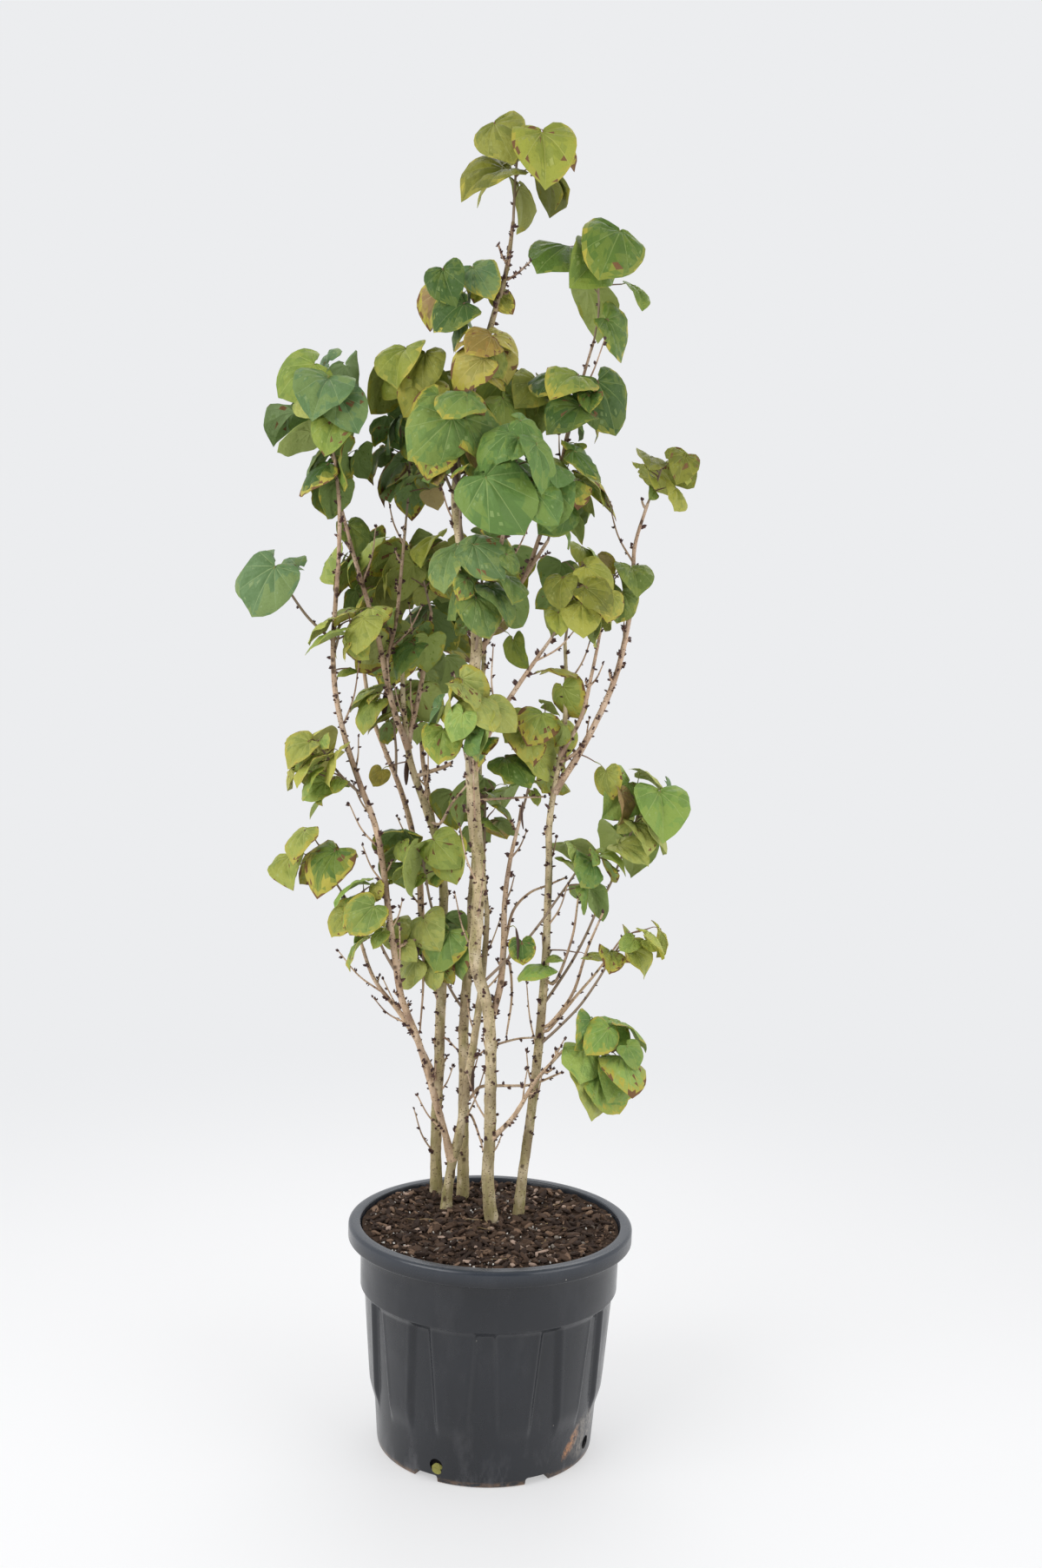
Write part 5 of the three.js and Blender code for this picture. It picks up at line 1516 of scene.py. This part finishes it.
def bark(name, low, high, dark, streaks, tip, heights):
    """Bark that pales between two heights, and turns to the colour of young wood between two more."""
    finish = Finish(name, low, 0.8, Specular_IOR_Level=0.3)
    base = finish.mix(finish.height_share(*heights[:2]), low, high)
    base = finish.layer(base, tip, finish.height_share(*heights[2:]))
    mottle = finish.ramp(finish.noise(90, (1, 1, 0.4), 6, 0.65), (0.36, 0.58), (0.6, 1.0))
    base = finish.mix(0.85, base, mottle, "MULTIPLY")
    # Dark bands, green streaks, pale and dark patches: colour, the noise, and where it starts and ends.
    for colour, noise_values, start, end in (
            (tone(low, dark, 0.45), (14, (0.6, 0.6, 3.2), 4), 0.4, (0.62, 0.5)),
            (streaks, (75, (1, 1, 0.22), 4, 0.6), 0.46, (0.62, 0.65)),
            (tone(high, BARK_PALE, 0.5), (48, (1, 1, 0.55), 4, 0.6), 0.5, (0.66, 0.6)),
            (dark, (27, (1, 1, 0.6), 4), 0.5, (0.68, 0.8))):
        base = finish.layer(base, colour, finish.ramp(finish.noise(*noise_values), (start, 0.0), end))
    for colour, scale, up, start, end in ((BARK_SPOT, 170.0, 1.9, (0.15, 0.9), 0.3),
                                          (BARK_SCAR, 62.0, 0.8, (0.14, 0.85), 0.25)):
        base = finish.layer(base, colour, finish.ramp(finish.cells(scale, (1, 1, up)), start, (end, 0.0)))
    fine = finish.noise(620, (1, 1, 0.35), 4)
    normal = finish.bump(fine, 0.5, 0.0008)
    normal = finish.bump(finish.noise(130, (1, 1, 0.35), 4), 0.6, 0.0016, Normal=normal)
    rough = finish.ramp(fine, (0.3, 0.92), (0.7, 0.72))
    return finish.wear(Base_Color=base, Roughness=rough, Normal=normal)


def gloss(finish, grain, rough, spread):
    """Roughness that varies with the grain."""
    return finish.ramp(grain, (0.3, max(0.0, rough - spread)), (0.7, min(1.0, rough + spread)))


def leaf_finish(name, colour, rough=0.5):
    """A leaf's surface: one colour, with fine grain and creases between the veins."""
    finish = Finish(name, colour, rough, Specular_IOR_Level=0.3)
    grain = finish.noise(950, detail=4)
    normal = finish.bump(finish.noise(130, detail=5), 0.9, 0.003, Normal=finish.bump(grain, 0.4, 0.0004))
    return finish.wear(Roughness=gloss(finish, grain, rough, 0.1), Normal=normal)


def grained(name, colour, rough, scale, depth, **values):
    """One colour, with a grain in its relief and its gloss."""
    finish = Finish(name, colour, rough, **values)
    grain = finish.noise(scale, detail=5)
    return finish.wear(Roughness=gloss(finish, grain, rough, 0.12), Normal=finish.bump(grain, 0.6, depth))


POT_DARK, POT_LIGHT = 0x14171d, 0x1d2027
POT_DUST = 0x747377
POT_SOILED = 0x8a6b50
POT_SPECKS = 0xb9b4aa
# Painted sheen: a pale bluish grey towards which the rim's colour runs, in place of the rim's highlight.
RIM_PAINTED_SHEEN = 0x5a6370
# A pale rubbed patch and an orange-brown scrape: middle, size, lean, colour, and where they are full.
MARKS = (((0.150, -0.085, 0.045), (0.03, 0.06, 0.04), 0.3, 0x7d7770, 0.35),
         ((0.128, -0.108, 0.043), (0.008, 0.06, 0.03), 0.5, 0xb07a4e, 0.5))


def pot_finish():
    finish = Finish("pot_plastic", 0x1a1c21, 0.34, Specular_IOR_Level=0.55)
    ramp, noised, rising = finish.ramp, finish.noise, finish.height_share
    base = finish.mix(ramp(noised(9, detail=4), (0.35, 0.0), (0.75, 1.0)), POT_DARK, POT_LIGHT)
    # Dust that has run down and dried, thicker near the foot.
    base = finish.layer(base, POT_DUST, ramp(noised(26, (1, 1, 0.35), 6, 0.65), (0.5, 0.0), (0.8, 0.75)),
                        ramp(rising(0.0, 0.12), (0.0, 1.0), (0.35, 0.35), (1.0, 0.12)))
    base = finish.layer(base, POT_SOILED, ramp(rising(0.0, 0.012), (0.1, 0.9), (0.8, 0.0)),
                        ramp(noised(70, (1, 1, 2.5), 5, 0.7), (0.42, 0.0), (0.6, 1.0)))
    # Painted sheen: the rim lightens towards a bluish grey near its top.
    base = finish.layer(base, RIM_PAINTED_SHEEN, ramp(rising(0.3, 0.335), (0.4, 0.0), (1.0, 0.27)))
    base = finish.layer(base, POT_SPECKS, ramp(finish.cells(95.0), (0.05, 0.8), (0.1, 0.0)),
                        ramp(noised(31, detail=2), (0.62, 0.0), (0.66, 1.0)))
    for middle, size, lean, colour, full in MARKS:
        spot = finish.node("Mapping", finish.place(), vector_type="TEXTURE", Location=middle,
                           Rotation=(0, lean, 0), Scale=size)
        ball = finish.node("TexGradient", spot.outputs[0], gradient_type="SPHERICAL")
        base = finish.layer(base, colour, ramp(ball.outputs["Fac"], (0.05, 0.0), (full, 1.0)),
                            ramp(noised(190, (1, 1, 0.6), 5, 0.7), (0.4, 0.0), (0.62, 1.0)))
    grain = finish.bump(noised(1300, detail=3), 0.16, 0.0002)
    return finish.wear(Base_Color=base, Roughness=ramp(noised(17, detail=5), (0.3, 0.2), (0.75, 0.36)),
                       Normal=finish.bump(noised(34, (1, 1, 0.5)), 0.12, 0.0012, Normal=grain))


def soil_finish():
    finish = Finish("soil_dark", 0x3a2d25, 0.95, Specular_IOR_Level=0.2)
    crumbs = finish.noise(240, detail=6, rough=0.7)
    base = finish.mix(finish.ramp(crumbs, (0.3, 0.0), (0.7, 1.0)), 0x271c16, 0x5e4a3c)
    # Painted shade: the mix turns near black at the bottom, behind the drain holes.
    base = finish.mix(finish.height_share(0.04, 0.12), 0x0d0b0a, base)
    return finish.wear(Base_Color=base, Normal=finish.bump(crumbs, 1.0, 0.003))


# ---------------------------------------------------------------- dressing
MULCH = (("dark", 0x3b2e27), ("brown", 0x513f33), ("tan", 0x7d6553), ("pink", 0xb09888),
         ("grey", 0x877d73), ("white", 0xe2dfd8), ("straw", 0x9b8460), ("scrap", 0x8f8c4c))
SHADES = {
    "deep": (0x526e2b, 0x607d36, 0x466129, 0x72883e, 0x667934, 0x819244, 0x727c2e, 0x6b8858),
    "blue": (0x647f4a, 0x728b50, 0x587446, 0x859b66, 0x667f40, 0x7f984e, 0x4e6e36, 0x94a25a),
    "mid": (0x748b38, 0x859b44, 0x5e792f, 0x95a44e, 0x9ea64c, 0x718d46, 0x54712d, 0x8c943e),
    "bright": (0x82a04c, 0x93ae59, 0x769348, 0xa0b15e, 0xa9b05e, 0x859941, 0x668742, 0x678554),
    "olive": (0x8a9338, 0x7b8b34, 0x9aa040, 0x858836, 0x6f813a, 0xa5a647, 0x667832, 0x76782a),
    "lime": (0xa2ae52, 0xb2ba58, 0x8fa34c, 0xc0bd60, 0x9aa04a, 0x83974a, 0xb0ab52, 0x8fae54),
    "gold": (0x9c8c3a, 0xa8974a, 0x948a3e, 0x7f7a34, 0xb3a654, 0x8a8838, 0x9c7e3c, 0x757f32),
}
TURNED = 0xb4aa45
DEAD = 0x7b5938
DRY = 0x9c7f54
# Each part of a leaf passes from the leaf's shade part of the way to another colour.
PARTS = {"upper": (0, 0), "vein": (0xdfe0a0, 0.27), "under": (0xbcc48c, 0.34), "cloud": (0xb4b24a, 0.2),
         "dark": (0x33501c, 0.14), "half": (TURNED, 0.5)}
# Shares of the leaves: dry, spotted, and in the shade that a spray favours.
DRY_SHARE = 0.035
SPOTTED_SHARE = 0.28
FAVOURED_SHARE = 0.36
# Sprays that keep more to one shade: its index, and the share of their leaves that have it.
# Some of these are painted light: band_left_mid, band_right, left_mid, mid_back, mid_low, right_mid,
# right_mid_low, right_back and left_outer keep to paler shades in place of the light that reaches the low
# sprays, and top, upper_left, right_top and right_top_low keep to darker ones, as painted shade.
OWN_SHADE = {
    "top": (7, 0.75), "upper_left": (2, 0.6), "left_top": (7, 0.6), "far_left": (7, 0.8),
    "right_top": (2, 0.6), "right_top_low": (2, 0.7), "crown_front": (6, 0.85), "crown_centre": (5, 0.6),
    "crown_top_left": (0, 0.4), "low_right": (0, 0.4), "crown_low_right": (4, 0.5),
    "band_left_mid": (3, 0.65), "band_right": (3, 0.5), "band_centre": (4, 0.4), "left_mid": (3, 0.7),
    "mid_back": (3, 0.7), "mid_low": (4, 0.5), "right_mid": (4, 0.5), "right_mid_low": (3, 0.5),
    "right_back": (4, 0.5), "left_outer": (4, 0.5), "left_back": (3, 0.5)}
TURNING = (1.16, 0.36)  # where an edge turns on the youngest leaf, and how much farther in on the oldest
FRESH = ("far_left", "left_top", "right_mid", "crown_front")  # sprays whose edges haven't turned
GREEN_STALKS = 0.6  # the share of the stalks that are green, the rest being red
SCRAP_PLACE = (162.6, 6.5, 21.5)  # of a bit of leaf in the front drain hole: out, across and up
SCRAP_LENGTH = 14

# Name, slot and colours of each barked piece, and the heights at which the bark changes.
BARKS = (("stem_bark", "stems",
          (0xb7a97c, 0xdcc7a0, 0x8c7a5f, 0x86804a, 0x78604c), (0.32, 0.58, 1.6, 1.74)),
         ("bough_bark", "boughs",
          (0xdfc2a0, 0xcbab94, 0x8a6e5c, 0xa0846c, 0x8c7060), (0.6, 1.5, 1.4, 1.7)))
# The materials of each finer piece: name, colour, roughness, scale and depth of the grain.
GRAINS = {
    "twigs": (("twig_old", 0x94806c, 0.75, 700, 0.0005), ("twig_young", 0x806553, 0.6, 700, 0.0004)),
    "leaf_stalks": (("stalk_green", 0x8c8d4b, 0.5, 600, 0.0002), ("stalk_red", 0x7f5a44, 0.5, 600, 0.0002)),
    "buds": (("bud_maroon", 0x452a28, 0.55, 900, 0.0003), ("bud_brown", 0x5c3f36, 0.6, 900, 0.0003)),
    "pods": (("pod_brown", 0x4b3228, 0.55, 500, 0.0006),),
}


def leaf_materials(tint):
    return [leaf_finish(f"leaf_{tint}_{part}_{k}", tone(shade, *other), 0.62 if part == "under" else 0.5)
            for k, shade in enumerate(SHADES[tint] + (DRY,)) for part, other in PARTS.items()] + [
                leaf_finish(f"leaf_{tint}_turned", TURNED), leaf_finish(f"leaf_{tint}_dead", DEAD, 0.7)]


def dress_spray(heap, mass):
    """The leaves of one mass, each with a shade of its own."""
    count = len(SHADES[mass.tint])
    draw = seeded(SEEDS["leaves"] + mass.seed)
    favoured, share = OWN_SHADE.get(mass.name, (int(draw() * count), FAVOURED_SHARE))
    for blade in mass.blades:
        if blade.kind is not LEAF:
            continue
        pick, other, age = draw(), int(draw() * count), draw()
        if hasattr(blade, "lone"):
            pick = 1
        shade = count if pick < DRY_SHARE else favoured if pick < share else other
        slots = {part: len(PARTS) * shade + k for k, part in enumerate(PARTS)}
        slots.update(turned=len(PARTS) * (count + 1), dead=len(PARTS) * (count + 1) + 1)
        turning = TURNING[0] - TURNING[1] * age ** 2 + (1 if mass.name in FRESH else 0)
        add_leaf(heap, blade, draw, slots, turning, draw() < SPOTTED_SHARE)


def dress_leaves():
    for tint in SHADES:
        heap, sprays = Heap(), [mass for mass in masses if mass.tint == tint]
        for mass in sprays:
            dress_spray(heap, mass)
        heap.piece("foliage_" + tint, leaf_materials(tint), ["leaves_" + mass.name for mass in sprays],
                   "leaves_" + tint)


def dress_wood():
    stems, boughs = heaps = Heap(), Heap()
    fine = {name: Heap() for name in GRAINS}
    twigs, stalks, buds, pods = fine.values()
    grow_bark(stems, boughs, buds)
    for mass in masses:
        draw = seeded(SEEDS["twigs"] + mass.seed)
        path, radii = fine_path(mass, TWIG_DETAIL[0])
        add_tube(twigs, path, radii, TWIG_DETAIL[1])
        for place in nodes_along(path, radii, draw):
            add_buds(buds, place, draw, TWIG_BUDS)
        for blade in mass.blades:
            twig, stalk = twig_and_stalk(blade, draw)
            add_tube(twigs, twig, np.linspace(*SIDE_RADII, len(twig)), SIDE_DETAIL[1], 1)
            radii = np.interp(np.linspace(0, 2, len(stalk)), (0, 1, 2), PETIOLE_RADII)
            add_tube(stalks, stalk, radii, PETIOLE_DETAIL[1], 0 if draw() < GREEN_STALKS else 1)
            if blade.kind is POD:
                add_pod(pods, blade, draw)
    for heap, (name, slot, colours, heights) in zip(heaps, BARKS):
        nodes = [wood.name for wood in limbs.values() if wood.on_soil is (heap is stems)]
        heap.piece(name, [bark("bark_" + slot, *colours, heights)], nodes, slot)
    for name, heap in fine.items():
        heap.piece(name, [grained(*values) for values in GRAINS[name]], [], "boughs")


def add_scrap(heap):
    """A bit of leaf that has come out of the front drain hole."""
    out, across = out_and_across(math.radians(DRAIN_FIRST_ANGLE))
    base = np.array(SCRAP_PLACE) @ (out, across, UP)
    leaf = make_blade(LEAF, base, SCRAP_LENGTH, unit(0.2 * UP - across), unit(out + 0.9 * UP))
    slots = dict.fromkeys([*PARTS, "turned", "dead"], SCRAP_SLOT)
    add_leaf(heap, leaf, seeded(SEEDS["scrap"]), slots, 2, False)


def dress_pot():
    shell, bed, mulch = Heap(), Heap(), Heap()
    grow_pot(shell)
    cut_away(shell.piece("pot_shell", [pot_finish()], ["pot"], "pot"), notches_and_drains())
    grow_bed(bed)
    bed.piece("soil_bed", [soil_finish()], ["soil"], "soil")
    strew_chips(mulch)
    strew_straws(mulch)
    add_scrap(mulch)
    mulch.piece("mulch", [grained("mulch_" + name, colour, 0.88, 420, 0.0012, Specular_IOR_Level=0.25)
                          for name, colour in MULCH], [], "soil")


# ---------------------------------------------------------------- stage, light and camera
FLOOR_REACH = 8
FLOOR_NEAR = (0.5, 2.6)  # metres from the plant over which the lit floor gives way to the studio's tone
STUDIO_TONE = 0xecedef
SKY_STRENGTH = 1.06
# The sky's tones from level to straight up, and its share from the front to the back.
SKY_LEVELS = ((0.0, 0xecedef), (0.4, 0xe0e1e3))
SKY_SIDES = ((0.0, 0x737476), (0.62, 0xffffff))
LAMPS = (("key", (-2.3, -2.0, 2.2), 2.6, 72), ("fill", (2.6, -1.7, 1.6), 2.6, 46),
         ("back", (0.2, 2.2, 3.2), 2.4, 28))  # name, place, size and power
LAMP_AIM = Vector((0, 0, 0.8))
CAMERA_PLACE = (0.0245, -2.3726, 1.1729)
CAMERA_PITCH = 0.07696
CAMERA_ROLL = 0.03243
CAMERA_LENS = 37.21
CAMERA_SENSOR = 36


def floor_finish():
    """The lit floor round the plant, which passes without an edge into the tone of the studio."""
    finish = Finish("floor_white", 0xb4b4b5, 0.7, Specular_IOR_Level=0.2, Emission_Color=(1, 1, 1, 1),
                    Emission_Strength=0.45)
    reach = finish.node("VectorMath", finish.place((1, 1, 0)), operation="LENGTH").outputs["Value"]
    far = finish.node("MapRange", reach, From_Min=FLOOR_NEAR[0], From_Max=FLOOR_NEAR[1],
                      interpolation_type="SMOOTHSTEP")
    studio = finish.node("Emission", linear(STUDIO_TONE))
    blend = finish.node("MixShader", far.outputs[0], finish.shader.outputs[0], studio.outputs[0])
    finish.feed(finish.tree.nodes["Material Output"], {"Surface": blend.outputs[0]})
    return finish.material


def set_stage():
    mesh = bpy.data.meshes.new("floor")
    corners = ((-1, -1), (1, -1), (1, 1), (-1, 1))
    mesh.from_pydata([(x * FLOOR_REACH, y * FLOOR_REACH, 0) for x, y in corners], [], [(0, 1, 2, 3)])
    mesh.materials.append(floor_finish())
    floor = placed("floor", mesh)


def set_light():
    """A soft sky that the camera sees as one plain tone, and three lamps."""
    world = bpy.data.worlds.new("studio")
    bpy.context.scene.world = world
    world.use_nodes = True
    wiring = Wiring(world.node_tree)
    sky, shown = (world.node_tree.nodes[name] for name in ("Background", "World Output"))
    way = wiring.node("SeparateXYZ", wiring.node("TexCoord").outputs["Generated"])
    forward = wiring.node("MapRange", way.outputs["Y"], From_Min=-1).outputs[0]
    light = wiring.mix(1.0, wiring.ramp(way.outputs["Z"], *SKY_LEVELS), wiring.ramp(forward, *SKY_SIDES),
                       "MULTIPLY")
    wiring.feed(sky, {"Color": light, "Strength": SKY_STRENGTH})
    plain = wiring.node("Background", linear(STUDIO_TONE))
    seen = wiring.node("LightPath").outputs["Is Camera Ray"]
    blend = wiring.node("MixShader", seen, sky.outputs[0], plain.outputs[0])
    wiring.feed(shown, {"Surface": blend.outputs[0]})
    for name, place, size, power in LAMPS:
        data = bpy.data.lights.new(name, "AREA")
        data.size, data.energy = size, power
        lamp = placed(name, data)
        lamp.location = place
        lamp.rotation_euler = (LAMP_AIM - Vector(place)).to_track_quat("-Z", "Y").to_euler()


def set_camera():
    data = bpy.data.cameras.new("camera")
    data.lens, data.sensor_width, data.sensor_fit = CAMERA_LENS, CAMERA_SENSOR, "AUTO"
    camera = placed("camera", data)
    tilt = Matrix.Rotation(math.pi / 2 - CAMERA_PITCH, 4, "X") @ Matrix.Rotation(CAMERA_ROLL, 4, "Z")
    camera.matrix_world = Matrix.Translation(CAMERA_PLACE) @ tilt
    bpy.context.scene.camera = camera
    bpy.context.scene.view_settings.view_transform = "Standard"


dress_wood()
dress_leaves()
dress_pot()
set_stage()
set_light()
set_camera()
